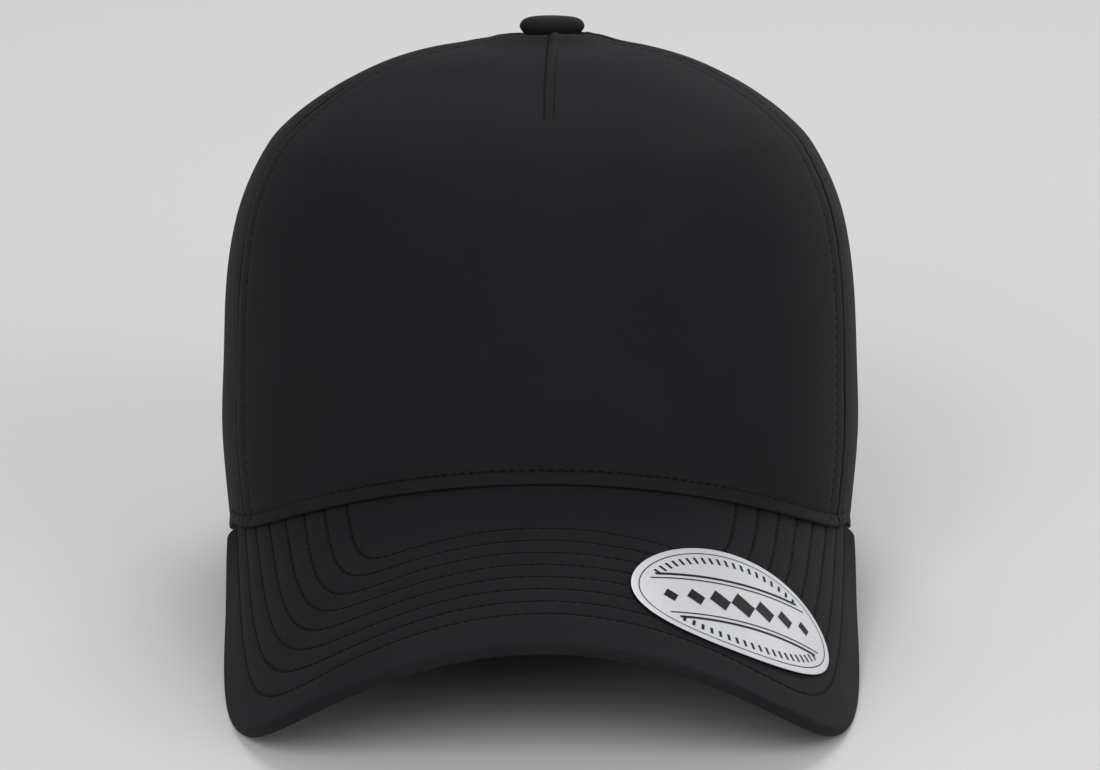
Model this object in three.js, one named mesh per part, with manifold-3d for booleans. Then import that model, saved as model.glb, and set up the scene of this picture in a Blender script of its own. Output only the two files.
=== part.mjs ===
// Five panel cap: a wide stiff front panel, two side panels and two back panels, a curved visor,
// a covered button, a sweatband and a moulded strap across the open arch at the back.
// Millimetres, +Z up, the visor points along -Y and +X is on the right of someone who faces the visor.
// The cap is modelled in its own frame, with the rim in the plane z = 0, and is then tipped as it
// rests by itself: on the two front corners of the visor and on the back of its rim.
import * as THREE from "three";
import Module from "manifold-3d";
import { mergeVertices } from "three/addons/utils/BufferGeometryUtils.js";

const wasm = await Module();
wasm.setup();

// Crown
const crownHalfWidth = 85.7;
const crownFrontReach = 98;
const crownBackReach = 98;
const crownHeight = 132;
const crownLean = 3.2; // how far the top sits to the right of the middle
const leanPower = 6; // how late on the way up it leans
const panelThickness = 2;
const pieceGap = 0.3; // between two sewn pieces
const frontSeamAngle = 68; // degrees round from the middle of the front, at the rim
const frontSeamSweep = 12; // degrees further round at the top
const rearSeamAngle = 125.5;
const rearSeamSweep = 5;
const sweepPower = 1.5; // how late on the way up the seams sweep round
const rimBlend = 9; // degrees over which the rim rises again behind the visor's end
const crownTopRadius = 5; // where the panels' points stop, under the button

// Visor, a flat board bent about one radius and sloped down
const visorLength = 69; // along its middle, from the crown
const visorHalfSpan = 107; // from the middle to a side edge, round the bend
const visorBackReach = 84; // how far the side edges run back past the middle of its seam
const visorBendRadius = 89.2;
const visorSlope = 26.3; // degrees
const visorSeamHeight = 25.4; // of the seam's middle above the rim
const visorSquareness = 4.4; // power of the outline, 2 is an ellipse
const visorThickness = 3;
const visorEdgeRound = 0.9; // how far the top and the underside stop short of the rolled edge
const visorEndAngle = 76.5; // degrees round from the middle of the front
const visorPress = 0.8; // how far the cloth of its corners gives on a surface

// Button
const buttonRadius = 8.8;
const buttonHeight = 5.4;

// Sweatband
const bandHeight = 32;
const bandThickness = 1.4;
const bandInset = 0.8; // of its lower edge above the rim
const bandCover = 4; // how far it runs down behind the visor's seam
const bandEndInset = 2; // between its end and the side of the arch

// Arch and strap at the back
const archHalfWidth = 42;
const archHeight = 50;
const archSquareness = 2.4;
const strapHeight = 17;
const strapThickness = 1.5;
const strapLap = 14; // how far each end of the strap runs in behind the crown
const strapInset = 0.6; // of its lower edge above the rim
const strapTaper = 22; // distance over which the sweatband moves aside for it
const studCount = 7;
const studPitch = 9;
const studRadius = 2.4;
const studHeight = 0.7;

// Oval foil label on the visor
const labelLength = 65;
const labelWidth = 39.8;
const labelThickness = 0.4;
const labelTurn = 22.4; // degrees that its outer end is raised towards the crown
const labelAcross = 52.8; // of its middle round the bend
const labelForward = 32.2; // of its middle from the crown

const rimTouch = 80; // the rim lies flat on a surface from here back

// Profile of the crown from the rim to the top. along is the share of the way up, rise is of
// crownHeight, side of crownHalfWidth, front of crownFrontReach and back of crownBackReach.
const profile = [
  { along: 0, rise: 0, side: 0.975, front: 0.99, back: 0.985 },
  { along: 0.14, rise: 0.196, side: 1, front: 1, back: 1 },
  { along: 0.24, rise: 0.339, side: 0.9965, front: 0.985, back: 0.99 },
  { along: 0.355, rise: 0.503, side: 0.984, front: 0.949, back: 0.944 },
  { along: 0.445, rise: 0.626, side: 0.956, front: 0.903, back: 0.878 },
  { along: 0.505, rise: 0.709, side: 0.915, front: 0.852, back: 0.811 },
  { along: 0.57, rise: 0.791, side: 0.847, front: 0.776, back: 0.719 },
  { along: 0.61, rise: 0.832, side: 0.789, front: 0.714, back: 0.663 },
  { along: 0.655, rise: 0.872, side: 0.713, front: 0.638, back: 0.587 },
  { along: 0.71, rise: 0.914, side: 0.611, front: 0.531, back: 0.49 },
  { along: 0.78, rise: 0.955, side: 0.475, front: 0.398, back: 0.362 },
  { along: 0.85, rise: 0.981, side: 0.33, front: 0.27, back: 0.245 },
  { along: 0.93, rise: 0.996, side: 0.155, front: 0.122, back: 0.112 },
  { along: 1, rise: 1, side: 0, front: 0, back: 0 },
];

// Rings of the button, from its seat to its top
const buttonProfile = [
  { out: 0, up: 0 },
  { out: 0.8, up: 0 },
  { out: 0.95, up: 0.2 },
  { out: 1, up: 0.45 },
  { out: 0.95, up: 0.7 },
  { out: 0.78, up: 0.88 },
  { out: 0.45, up: 0.97 },
  { out: 0, up: 1 },
];

// Mesh counts
const crownRows = 15;
const frontColumns = 26;
const endColumns = 4; // of a side panel, over the visor's end
const sideColumns = 8; // of a side panel, behind it
const backColumns = 5;
const archColumns = 9;
const visorColumns = 44;
const visorRows = 7;
const bandColumns = 58;
const strapColumns = 26;
const labelSides = 32;
const labelRings = 4;
const roundSides = 24;
const studSides = 10;

const degree = Math.PI / 180;
const lowestAlong = -0.05; // the crown's wall may run this far below the rim's plane
const slope = visorSlope * degree;

// Value of one column of the profile, on a smooth curve through its rows
function profileShare(column, along) {
  let row = 0;
  while (row < profile.length - 2 && along > profile[row + 1].along) row++;
  const tangent = (at) => {
    const before = profile[Math.max(at - 1, 0)];
    const after = profile[Math.min(at + 1, profile.length - 1)];
    return (after[column] - before[column]) / (after.along - before.along);
  };
  const [start, end] = [profile[row], profile[row + 1]];
  const step = end.along - start.along;
  const part = (along - start.along) / step;
  return (
    start[column] * (2 * part ** 3 - 3 * part ** 2 + 1) +
    tangent(row) * step * (part ** 3 - 2 * part ** 2 + part) +
    end[column] * (3 * part ** 2 - 2 * part ** 3) +
    tangent(row + 1) * step * (part ** 3 - part ** 2)
  );
}

// Point of the crown's outer face. angle is in radians round from the middle of the front.
function crownPoint(angle, along) {
  const forward = Math.cos(angle);
  const reach =
    forward > 0
      ? crownFrontReach * profileShare("front", along)
      : crownBackReach * profileShare("back", along);
  return new THREE.Vector3(
    crownHalfWidth * profileShare("side", along) * Math.sin(angle) +
      crownLean * along ** leanPower,
    -reach * forward,
    crownHeight * profileShare("rise", along),
  );
}

// Outward direction of the crown's face
function crownNormal(angle, along) {
  const step = 1e-3;
  const round = crownPoint(angle + step, along).sub(
    crownPoint(angle - step, along),
  );
  const low = Math.max(along - step, 0);
  const up = crownPoint(angle, low + 2 * step).sub(crownPoint(angle, low));
  return round.cross(up).normalize();
}

// Point at a depth inside the crown's outer face
function crownInside(angle, along, depth) {
  return crownPoint(angle, along).addScaledVector(
    crownNormal(angle, along),
    -depth,
  );
}

// The share of the way up at which a rising measure of the crown reaches a value
function alongWhere(measure, value) {
  let [low, high] = [lowestAlong, 1];
  for (let i = 0; i < 40; i++) {
    const middle = (low + high) / 2;
    if (measure(middle) < value) low = middle;
    else high = middle;
  }
  return (low + high) / 2;
}

// Distance round the rim from the middle of the back, for a point at an angle
function fromBack(angle) {
  return (Math.PI - Math.abs(angle)) * crownBackReach;
}

// Angle of a point at a distance round the rim from the middle of the back
function backAngle(distance) {
  return Math.PI - distance / crownBackReach;
}

// How far the visor's bend has dropped at a distance from its middle line, square to the board
function bendDrop(x) {
  const limit = Math.min(Math.abs(x), visorBendRadius);
  return visorBendRadius - Math.sqrt(visorBendRadius ** 2 - limit ** 2);
}

// Height of the visor's top face over a point of the plan
function visorHeight(x, y) {
  return (
    visorSeamHeight -
    (-y - crownFrontReach) * Math.tan(slope) -
    bendDrop(x) / Math.cos(slope)
  );
}

// Point of the visor's top face, from the distance round the bend and the distance forward
function visorPoint(across, forward) {
  const bend = across / visorBendRadius;
  const drop = visorBendRadius * (1 - Math.cos(bend));
  return new THREE.Vector3(
    visorBendRadius * Math.sin(bend),
    -crownFrontReach - forward * Math.cos(slope) + drop * Math.sin(slope),
    visorSeamHeight - forward * Math.sin(slope) - drop * Math.cos(slope),
  );
}

// Upward direction of the visor's top face
function visorNormal(x) {
  const side = THREE.MathUtils.clamp(x / visorBendRadius, -1, 1);
  const up = Math.sqrt(1 - side ** 2);
  return new THREE.Vector3(
    side,
    -Math.sin(slope) * up,
    Math.cos(slope) * up,
  );
}

// Point of the visor's outline. turn runs from -1 at the left end to 1 at the right end.
function visorOutline(turn, inset) {
  const angle = (turn * Math.PI) / 2;
  const [side, ahead] = [Math.abs(Math.sin(angle)), Math.cos(angle)];
  const radius =
    (side ** visorSquareness + ahead ** visorSquareness) ** (-1 / visorSquareness);
  const span = visorHalfSpan - inset;
  const reach = visorLength + visorBackReach - inset;
  return visorPoint(
    Math.sign(turn) * span * radius * side,
    reach * radius * ahead - visorBackReach,
  );
}

const visorEnd = visorEndAngle * degree;

// Where the crown's face at a depth meets the visor's top face
function seamAlong(angle, depth, clearance) {
  return alongWhere((along) => {
    const point = crownInside(angle, along, depth);
    return point.z - visorHeight(point.x, point.y);
  }, clearance);
}

// The outline's turn at which it comes level with the end of the seam
const visorEndTurn = (() => {
  const end = crownPoint(visorEnd, seamAlong(visorEnd, 0, 0));
  let [low, high] = [0.5, 1];
  for (let i = 0; i < 40; i++) {
    const middle = (low + high) / 2;
    if (visorOutline(middle, 0).y < end.y) low = middle;
    else high = middle;
  }
  return low;
})();

// Joins two grids of points, one for each face of a wall, into one closed body
function wallGeometry(outer, inner) {
  const columns = outer.length;
  const rows = outer[0].length;
  const positions = [...outer.flat(), ...inner.flat()].flatMap((p) => [
    p.x,
    p.y,
    p.z,
  ]);
  const index = [];
  const at = (column, row, face) => face * columns * rows + column * rows + row;
  const quad = (a, b, c, d) => index.push(a, b, c, a, c, d);
  for (let i = 0; i < columns - 1; i++)
    for (let j = 0; j < rows - 1; j++) {
      quad(at(i, j, 0), at(i + 1, j, 0), at(i + 1, j + 1, 0), at(i, j + 1, 0));
      quad(at(i, j, 1), at(i, j + 1, 1), at(i + 1, j + 1, 1), at(i + 1, j, 1));
    }
  for (let i = 0; i < columns - 1; i++) {
    const top = rows - 1;
    quad(at(i, 0, 1), at(i + 1, 0, 1), at(i + 1, 0, 0), at(i, 0, 0));
    quad(at(i, top, 0), at(i + 1, top, 0), at(i + 1, top, 1), at(i, top, 1));
  }
  for (let j = 0; j < rows - 1; j++) {
    const end = columns - 1;
    quad(at(0, j, 0), at(0, j + 1, 0), at(0, j + 1, 1), at(0, j, 1));
    quad(at(end, j, 0), at(end, j, 1), at(end, j + 1, 1), at(end, j + 1, 0));
  }
  return geometryOf(positions, index);
}

// A closed geometry whose faces point out, whichever way round its grid was written
function geometryOf(positions, index) {
  const corner = (i) =>
    new THREE.Vector3().fromArray(positions, index[i] * 3);
  let volume = 0;
  for (let i = 0; i < index.length; i += 3)
    volume += corner(i).dot(corner(i + 1).cross(corner(i + 2)));
  if (volume < 0) index.reverse();
  const geometry = new THREE.BufferGeometry();
  geometry.setAttribute(
    "position",
    new THREE.Float32BufferAttribute(positions, 3),
  );
  geometry.setIndex(index);
  geometry.computeVertexNormals();
  return geometry;
}

// Evenly spaced values from a start to an end, both included
function steps(start, end, count) {
  return Array.from(
    { length: count + 1 },
    (unused, i) => start + ((end - start) * i) / count,
  );
}

// Slope of the surface that the cap rests on, against its rim: the visor's lowest corner touches it
const restSlope = (() => {
  let steepest = 0;
  for (const turn of steps(0, visorEndTurn, visorColumns)) {
    const edge = visorOutline(turn, visorEdgeRound);
    edge.addScaledVector(visorNormal(edge.x), -visorThickness);
    steepest = Math.max(steepest, -(edge.z + visorPress) / (rimTouch - edge.y));
  }
  return steepest;
})();

// Height of the surface that the cap rests on, in the cap's own frame
function restHeight(y) {
  return (y - rimTouch) * restSlope;
}

// Cloth that would pass through the surface lies flat on it
function pressFlat(point) {
  point.z = Math.max(point.z, restHeight(point.y));
  return point;
}

// The seams between panels, as angles that sweep round on the way up
const sweep = (angle, extra) => (along) =>
  (angle + extra * Math.max(along, 0) ** sweepPower) * degree;
const frontSeam = sweep(frontSeamAngle, frontSeamSweep);
const rearSeam = sweep(rearSeamAngle, rearSeamSweep);
const backSeam = () => Math.PI;

// Lower edge of the crown at an angle: it sits on the visor, and behind the visor's end it rises
// to the rim's plane
function rimAlong(angle, depth) {
  const limit = THREE.MathUtils.clamp(angle, -visorEnd, visorEnd);
  const behind = THREE.MathUtils.smoothstep(
    Math.abs(angle),
    visorEnd,
    visorEnd + rimBlend * degree,
  );
  return seamAlong(limit, depth, pieceGap) * (1 - behind);
}

// One column of a panel, from its lower edge to its point under the button. Its angle moves from
// the one that it has at the lower edge to an even share of the panel at the top.
function panelColumn(panel, column, even, edgeShift, depth) {
  const { start, end } = panel;
  const lowAngle = column.angle;
  const lowShare = (lowAngle - start(0)) / (end(0) - start(0));
  const angleAt = (along, share) => {
    const part = THREE.MathUtils.lerp(
      lowShare,
      even,
      THREE.MathUtils.smoothstep(share, 0, 0.5),
    );
    return THREE.MathUtils.lerp(start(along), end(along), part);
  };
  const radiusAt = (angle, along) => {
    const point = crownPoint(angle, along);
    return Math.hypot(point.x - crownLean * along ** leanPower, point.y);
  };
  const top = alongWhere(
    (along) => -radiusAt(angleAt(along, 1), along),
    -crownTopRadius,
  );
  const lowest = panel.lowest(column, depth);
  return steps(0, 1, crownRows).map((share) => {
    const along = lowest + (top - lowest) * share;
    const angle = angleAt(along, share);
    const shift = edgeShift / radiusAt(angle, along);
    return pressFlat(crownInside(angle + shift, along, depth));
  });
}

// A panel between two seams, from the columns of its lower edge
function panelGeometry(panel) {
  const { columns } = panel;
  const way = Math.sign(columns.at(-1).angle - columns[0].angle);
  const last = columns.length - 1;
  const face = (depth) =>
    columns.map((column, i) => {
      const atStart = i === 0 ? 1 : 0;
      const atEnd = i === last ? 1 : 0;
      const edgeShift = (way * (atStart - atEnd) * pieceGap) / 2;
      return panelColumn(panel, column, i / last, edgeShift, depth);
    });
  return wallGeometry(face(0), face(panelThickness));
}

// The share of the way up at which the crown is at a height above the rim
function alongAtHeight(height) {
  return alongWhere((along) => crownHeight * profileShare("rise", along), height);
}

function frontPanelGeometry() {
  const edge = frontSeam(0);
  return panelGeometry({
    start: (along) => -frontSeam(along),
    end: frontSeam,
    columns: steps(-edge, edge, frontColumns).map((angle) => ({ angle })),
    lowest: (column, depth) => rimAlong(column.angle, depth),
  });
}

function sidePanelGeometry(side) {
  const angles = [
    ...steps(frontSeam(0), visorEnd, endColumns).slice(0, -1),
    ...steps(visorEnd, rearSeam(0), sideColumns),
  ];
  return panelGeometry({
    start: (along) => side * frontSeam(along),
    end: (along) => side * rearSeam(along),
    columns: angles.map((angle) => ({ angle: side * angle })),
    lowest: (column, depth) => rimAlong(column.angle, depth),
  });
}

// The lower edge rises round the arch, on columns spaced by the arch's own curve
function backPanelGeometry(side) {
  const archStart = backAngle(archHalfWidth);
  const plain = steps(rearSeam(0), archStart, backColumns)
    .slice(0, -1)
    .map((angle) => ({ angle: side * angle, height: 0 }));
  const round = (value) => Math.abs(value) ** (2 / archSquareness);
  const arch = steps(0, Math.PI / 2, archColumns).map((turn) => ({
    angle: side * backAngle(archHalfWidth * round(Math.cos(turn))),
    height: archHeight * round(Math.sin(turn)),
  }));
  return panelGeometry({
    start: (along) => side * rearSeam(along),
    end: (along) => side * backSeam(along),
    columns: [...plain, ...arch],
    lowest: (column) => alongAtHeight(column.height),
  });
}

// Offset from the visor's top face to its underside. At the crown it runs down the crown's wall,
// and at the edge it is square to the board.
function visorUnder(point, share) {
  const normal = visorNormal(point.x);
  const steepest = visorThickness * 1.5;
  const down = new THREE.Vector3(0, 0, Math.min(visorThickness / normal.z, steepest));
  return down.lerp(normal.multiplyScalar(visorThickness), share);
}

function visorGeometry() {
  const top = [];
  const under = [];
  for (const part of steps(-1, 1, visorColumns)) {
    const angle = part * visorEnd;
    const turn = part * visorEndTurn;
    const seam = crownInside(
      angle,
      seamAlong(angle, panelThickness, 0),
      panelThickness,
    );
    const edge = visorOutline(turn, visorEdgeRound);
    const topColumn = [];
    const underColumn = [];
    for (const share of steps(0, 1, visorRows)) {
      const point = seam.clone().lerp(edge, share);
      point.z = visorHeight(point.x, point.y);
      topColumn.push(point);
      underColumn.push(pressFlat(point.clone().sub(visorUnder(point, share))));
    }
    const rim = visorOutline(turn, 0);
    const middle = rim
      .clone()
      .addScaledVector(visorNormal(rim.x), -visorThickness / 2);
    topColumn.push(pressFlat(middle));
    under.push(underColumn);
    top.push(topColumn);
    underColumn.push(middle.clone());
  }
  return foldedGeometry(top, under);
}

// A wall whose two faces meet in one shared line along their last row, as a rolled edge
function foldedGeometry(top, under) {
  const columns = top.length;
  const rows = top[0].length;
  const positions = [];
  const number = new Map();
  const place = (column, row, face) => {
    const shared = row === rows - 1 ? 0 : face;
    const key = (shared * columns + column) * rows + row;
    if (!number.has(key)) {
      number.set(key, positions.length / 3);
      positions.push(...(shared === 0 ? top : under)[column][row].toArray());
    }
    return number.get(key);
  };
  const index = [];
  const quad = (a, b, c, d) => index.push(a, b, c, a, c, d);
  for (let i = 0; i < columns - 1; i++) {
    for (let j = 0; j < rows - 1; j++) {
      quad(place(i, j, 0), place(i + 1, j, 0), place(i + 1, j + 1, 0), place(i, j + 1, 0));
      quad(place(i, j, 1), place(i, j + 1, 1), place(i + 1, j + 1, 1), place(i + 1, j, 1));
    }
    quad(place(i, 0, 1), place(i + 1, 0, 1), place(i + 1, 0, 0), place(i, 0, 0));
  }
  for (let j = 0; j < rows - 1; j++) {
    const end = columns - 1;
    const last = j + 1 === rows - 1;
    const close = (i, turned) => {
      const corners = last
        ? [place(i, j, 0), place(i, j + 1, 0), place(i, j, 1)]
        : [place(i, j, 0), place(i, j + 1, 0), place(i, j + 1, 1), place(i, j, 1)];
      if (turned) corners.reverse();
      for (let k = 1; k < corners.length - 1; k++)
        index.push(corners[0], corners[k], corners[k + 1]);
    };
    close(0, false);
    close(end, true);
  }
  return geometryOf(positions, index);
}

// How deep the sweatband's outer face lies: it moves in where the strap's end is behind it
function bandDepth(angle) {
  const plain = panelThickness + pieceGap;
  const strapEnd = archHalfWidth + strapLap;
  const near = 1 - THREE.MathUtils.smoothstep(
    fromBack(angle),
    strapEnd + pieceGap,
    strapEnd + strapTaper,
  );
  return plain + (strapThickness + pieceGap) * near;
}

// Lower edge of the sweatband: behind the visor's seam in front, and just above the rim elsewhere
function bandLowest(angle) {
  const inVisor = Math.abs(angle) < visorEnd;
  const seam = inVisor
    ? crownPoint(angle, seamAlong(angle, panelThickness, 0)).z - bandCover
    : 0;
  return Math.max(seam, bandInset);
}

function sweatbandGeometry() {
  const end = backAngle(archHalfWidth + bandEndInset);
  const levels = [0, 1 / 3, 2 / 3, 1];
  const face = (extra) =>
    steps(-end, end, bandColumns).map((angle) =>
      levels.map((level) => {
        const height = bandLowest(angle) + bandHeight * level;
        const point = crownInside(
          angle,
          alongAtHeight(height),
          bandDepth(angle) + extra,
        );
        point.z = Math.max(point.z, restHeight(point.y) + bandInset);
        return point;
      }),
    );
  return wallGeometry(face(0), face(bandThickness));
}

// Point of the strap's outer face, at a distance round from the middle of the back
function strapPoint(distance, level, depth) {
  const angle = backAngle(distance);
  const rim = crownPoint(angle, 0);
  const low = Math.max(0, restHeight(rim.y)) + strapInset;
  const height = low + strapHeight * level;
  return crownInside(
    angle,
    alongAtHeight(height),
    panelThickness + pieceGap + depth,
  );
}

function strapBand() {
  const end = archHalfWidth + strapLap;
  const levels = [0, 0.5, 1];
  const face = (depth) =>
    steps(-end, end, strapColumns).map((distance) =>
      levels.map((level) => strapPoint(distance, level, depth)),
    );
  return wallGeometry(face(0), face(strapThickness));
}

// One stud's head, standing out of the strap's outer face
function studGeometry(distance) {
  const seat = strapPoint(distance, 0.5, strapThickness / 2);
  const head = strapPoint(distance, 0.5, -studHeight);
  const out = head.clone().sub(seat);
  const profilePoints = [
    new THREE.Vector2(0, 0),
    new THREE.Vector2(studRadius, 0),
    new THREE.Vector2(studRadius, out.length() * 0.85),
    new THREE.Vector2(studRadius * 0.8, out.length()),
    new THREE.Vector2(0, out.length()),
  ];
  const geometry = new THREE.LatheGeometry(profilePoints, studSides);
  const turn = new THREE.Quaternion().setFromUnitVectors(
    new THREE.Vector3(0, 1, 0),
    out.normalize(),
  );
  return geometry.applyQuaternion(turn).translate(seat.x, seat.y, seat.z);
}

// A closed geometry as a solid that can be joined to another
function solidOf(geometry) {
  const bare = new THREE.BufferGeometry();
  bare.setAttribute("position", geometry.getAttribute("position"));
  bare.setIndex(geometry.index);
  const merged = mergeVertices(bare, 1e-3);
  return new wasm.Manifold(
    new wasm.Mesh({
      numProp: 3,
      vertProperties: merged.attributes.position.array,
      triVerts: new Uint32Array(merged.index.array),
    }),
  );
}

function backStrapGeometry() {
  const middle = (studCount - 1) / 2;
  let strap = solidOf(strapBand());
  for (let i = 0; i < studCount; i++)
    strap = strap.add(solidOf(studGeometry((i - middle) * studPitch)));
  const mesh = strap.getMesh();
  return geometryOf(Array.from(mesh.vertProperties), Array.from(mesh.triVerts));
}

function buttonGeometry() {
  const points = buttonProfile.map(
    (ring) => new THREE.Vector2(ring.out * buttonRadius, ring.up * buttonHeight),
  );
  return new THREE.LatheGeometry(points, roundSides).rotateX(Math.PI / 2);
}

// A thin oval that follows the visor's top face
function labelGeometry() {
  const rings = steps(0, 1, labelRings);
  const turn = labelTurn * degree;
  const face = (lift) =>
    steps(0, 2 * Math.PI, labelSides).map((angle) =>
      rings.map((ring) => {
        const long = (ring * labelLength * Math.cos(angle)) / 2;
        const wide = (ring * labelWidth * Math.sin(angle)) / 2;
        const across = labelAcross + long * Math.cos(turn) - wide * Math.sin(turn);
        const forward = labelForward - long * Math.sin(turn) - wide * Math.cos(turn);
        const point = visorPoint(across, forward);
        return point.addScaledVector(visorNormal(point.x), lift);
      }),
    );
  return discGeometry(face(pieceGap + labelThickness), face(pieceGap));
}

// A round plate from two faces of rings, whose first ring is one point
function discGeometry(upper, lower) {
  const sides = upper.length - 1;
  const rings = upper[0].length;
  const positions = [];
  const faces = [upper, lower];
  const place = (face, side, ring) => {
    const spot = ring === 0 ? 0 : 1 + (ring - 1) * sides + (side % sides);
    return face * (1 + (rings - 1) * sides) + spot;
  };
  for (const grid of faces) {
    positions.push(...grid[0][0].toArray());
    for (let ring = 1; ring < rings; ring++)
      for (let side = 0; side < sides; side++)
        positions.push(...grid[side][ring].toArray());
  }
  const index = [];
  const both = (corners) => {
    const [a, b, c] = corners.map(([side, ring]) => place(0, side, ring));
    const [d, e, f] = corners.map(([side, ring]) => place(1, side, ring));
    index.push(a, b, c, d, f, e);
  };
  for (let side = 0; side < sides; side++) {
    both([[0, 0], [side, 1], [side + 1, 1]]);
    for (let ring = 1; ring < rings - 1; ring++) {
      both([[side, ring], [side, ring + 1], [side + 1, ring + 1]]);
      both([[side, ring], [side + 1, ring + 1], [side + 1, ring]]);
    }
    const edge = rings - 1;
    const [a, b] = [place(0, side, edge), place(0, side + 1, edge)];
    const [c, d] = [place(1, side, edge), place(1, side + 1, edge)];
    index.push(a, c, d, a, d, b);
  }
  return geometryOf(positions, index);
}

// Finishes
const cloth = new THREE.MeshStandardMaterial({
  color: "#26252a",
  roughness: 0.9,
  metalness: 0,
});
const bandCloth = new THREE.MeshStandardMaterial({
  color: "#1f1f22",
  roughness: 0.95,
  metalness: 0,
});
const plastic = new THREE.MeshStandardMaterial({
  color: "#1a1a1c",
  roughness: 0.45,
  metalness: 0,
});
const foil = new THREE.MeshStandardMaterial({
  color: "#c9cacc",
  roughness: 0.3,
  metalness: 1,
});

const cap = new THREE.Group();

function addPiece(name, geometry, material) {
  const mesh = new THREE.Mesh(geometry, material);
  mesh.name = name;
  cap.add(mesh);
  return mesh;
}

addPiece("front_panel", frontPanelGeometry(), cloth);
addPiece("side_panel_left", sidePanelGeometry(-1), cloth);
addPiece("side_panel_right", sidePanelGeometry(1), cloth);
addPiece("back_panel_left", backPanelGeometry(-1), cloth);
addPiece("back_panel_right", backPanelGeometry(1), cloth);
addPiece("visor", visorGeometry(), cloth);
addPiece("visor_label", labelGeometry(), foil);
addPiece("sweatband", sweatbandGeometry(), bandCloth);
addPiece("back_strap", backStrapGeometry(), plastic);
const button = addPiece("button", buttonGeometry(), cloth);
button.position.set(crownLean, 0, crownHeight + pieceGap);

// The cap tips back until its visor and the back of its rim share one level surface
cap.rotation.x = -Math.atan(restSlope);
cap.updateMatrixWorld(true);
const extent = new THREE.Box3().setFromObject(cap, true);
const middle = extent.getCenter(new THREE.Vector3());
cap.position.set(-middle.x, -middle.y, -extent.min.z);

const part = new THREE.Group();
part.add(cap);

export default part;
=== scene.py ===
"""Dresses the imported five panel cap: sewn panels, stitched visor, button, band, strap and label.

The cap is drawn in its own frame in millimetres, rim at z = 0 and visor towards -Y, and every
piece is then tipped into the row's frame, where the cap rests by itself on the floor.
"""

import logging
import math
from dataclasses import dataclass, field
from enum import Enum
from typing import Any, Callable

import bmesh
import bpy
import numpy as np
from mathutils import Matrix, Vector
from mathutils.bvhtree import BVHTree


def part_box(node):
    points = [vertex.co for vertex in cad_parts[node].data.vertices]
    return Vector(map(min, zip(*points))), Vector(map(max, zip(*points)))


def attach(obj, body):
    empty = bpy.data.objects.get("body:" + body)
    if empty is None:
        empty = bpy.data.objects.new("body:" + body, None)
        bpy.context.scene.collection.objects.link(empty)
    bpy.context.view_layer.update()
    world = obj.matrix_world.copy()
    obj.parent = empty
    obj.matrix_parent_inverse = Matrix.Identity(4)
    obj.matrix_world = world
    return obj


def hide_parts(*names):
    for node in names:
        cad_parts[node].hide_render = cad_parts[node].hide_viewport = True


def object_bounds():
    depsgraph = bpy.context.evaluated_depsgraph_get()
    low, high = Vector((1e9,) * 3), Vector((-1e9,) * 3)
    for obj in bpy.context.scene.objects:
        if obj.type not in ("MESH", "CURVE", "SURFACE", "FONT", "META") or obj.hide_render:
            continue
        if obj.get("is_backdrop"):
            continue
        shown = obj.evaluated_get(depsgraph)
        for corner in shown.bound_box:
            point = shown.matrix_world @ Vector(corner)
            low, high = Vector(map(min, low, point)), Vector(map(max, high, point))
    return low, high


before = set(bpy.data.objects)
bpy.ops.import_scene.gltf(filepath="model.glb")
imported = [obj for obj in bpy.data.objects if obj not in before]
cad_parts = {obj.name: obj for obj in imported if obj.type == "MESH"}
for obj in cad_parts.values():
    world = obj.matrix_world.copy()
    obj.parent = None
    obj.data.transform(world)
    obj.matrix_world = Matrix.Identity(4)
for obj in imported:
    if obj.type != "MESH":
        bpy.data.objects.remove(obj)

Array = np.ndarray
log = logging.getLogger("cap")

MM = 0.001
DEGREE = math.pi / 180
ROOT = "root"
HALVINGS = 34
BLOCK = 2000  # points whose distances are worked out at a time


class Slot(Enum):
    """Finishes that the record names."""

    TWILL = "twill"
    BAND = "band_cloth"
    PLASTIC = "strap_plastic"
    FOIL = "silver_foil"


class Repeat(Enum):
    """Shapes that are repeated along a path."""

    THREAD = "thread"
    TICK = "tick"
    STUD = "stud"


# Numbers and curves


def smooth_step(value: Array, low: float, high: float) -> Array:
    """Rise smoothly from 0 to 1 between two values.

    Args:
        value: Where the step is read.
        low: Value at and below which it is 0.
        high: Value at and above which it is 1.

    Returns:
        The step at each value.
    """
    part = np.clip((np.asarray(value, float) - low) / (high - low), 0.0, 1.0)
    return part * part * (3.0 - 2.0 * part)


def hump(distance: Array, width: float) -> Array:
    """Return a bell curve of height 1 that has fallen to a third at its width."""
    return np.exp(-((np.asarray(distance) / width) ** 2))


def along_where(measure: Callable[[Array], Array], target: Array) -> Array:
    """Find where a rising measure of the crown reaches its target, by halving.

    Args:
        measure: Gives the measure at each share of the way up.
        target: Value that each entry has to reach.

    Returns:
        The share of the way up of each entry.
    """
    low = np.full_like(target, -0.05)
    high = np.ones_like(target)
    for _ in range(HALVINGS):
        middle = (low + high) / 2
        below = measure(middle) < target
        low = np.where(below, middle, low)
        high = np.where(below, high, middle)
    return (low + high) / 2


def spaced(marks: list[tuple[float, float, int]]) -> Array:
    """Join stretches of evenly spaced values into one list without repeats.

    Args:
        marks: Start, end and number of steps of each stretch.

    Returns:
        The values in order.
    """
    stretches = [np.linspace(start, end, count + 1)[:-1] for start, end, count in marks]
    return np.concatenate([*stretches, [marks[-1][1]]])


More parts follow.
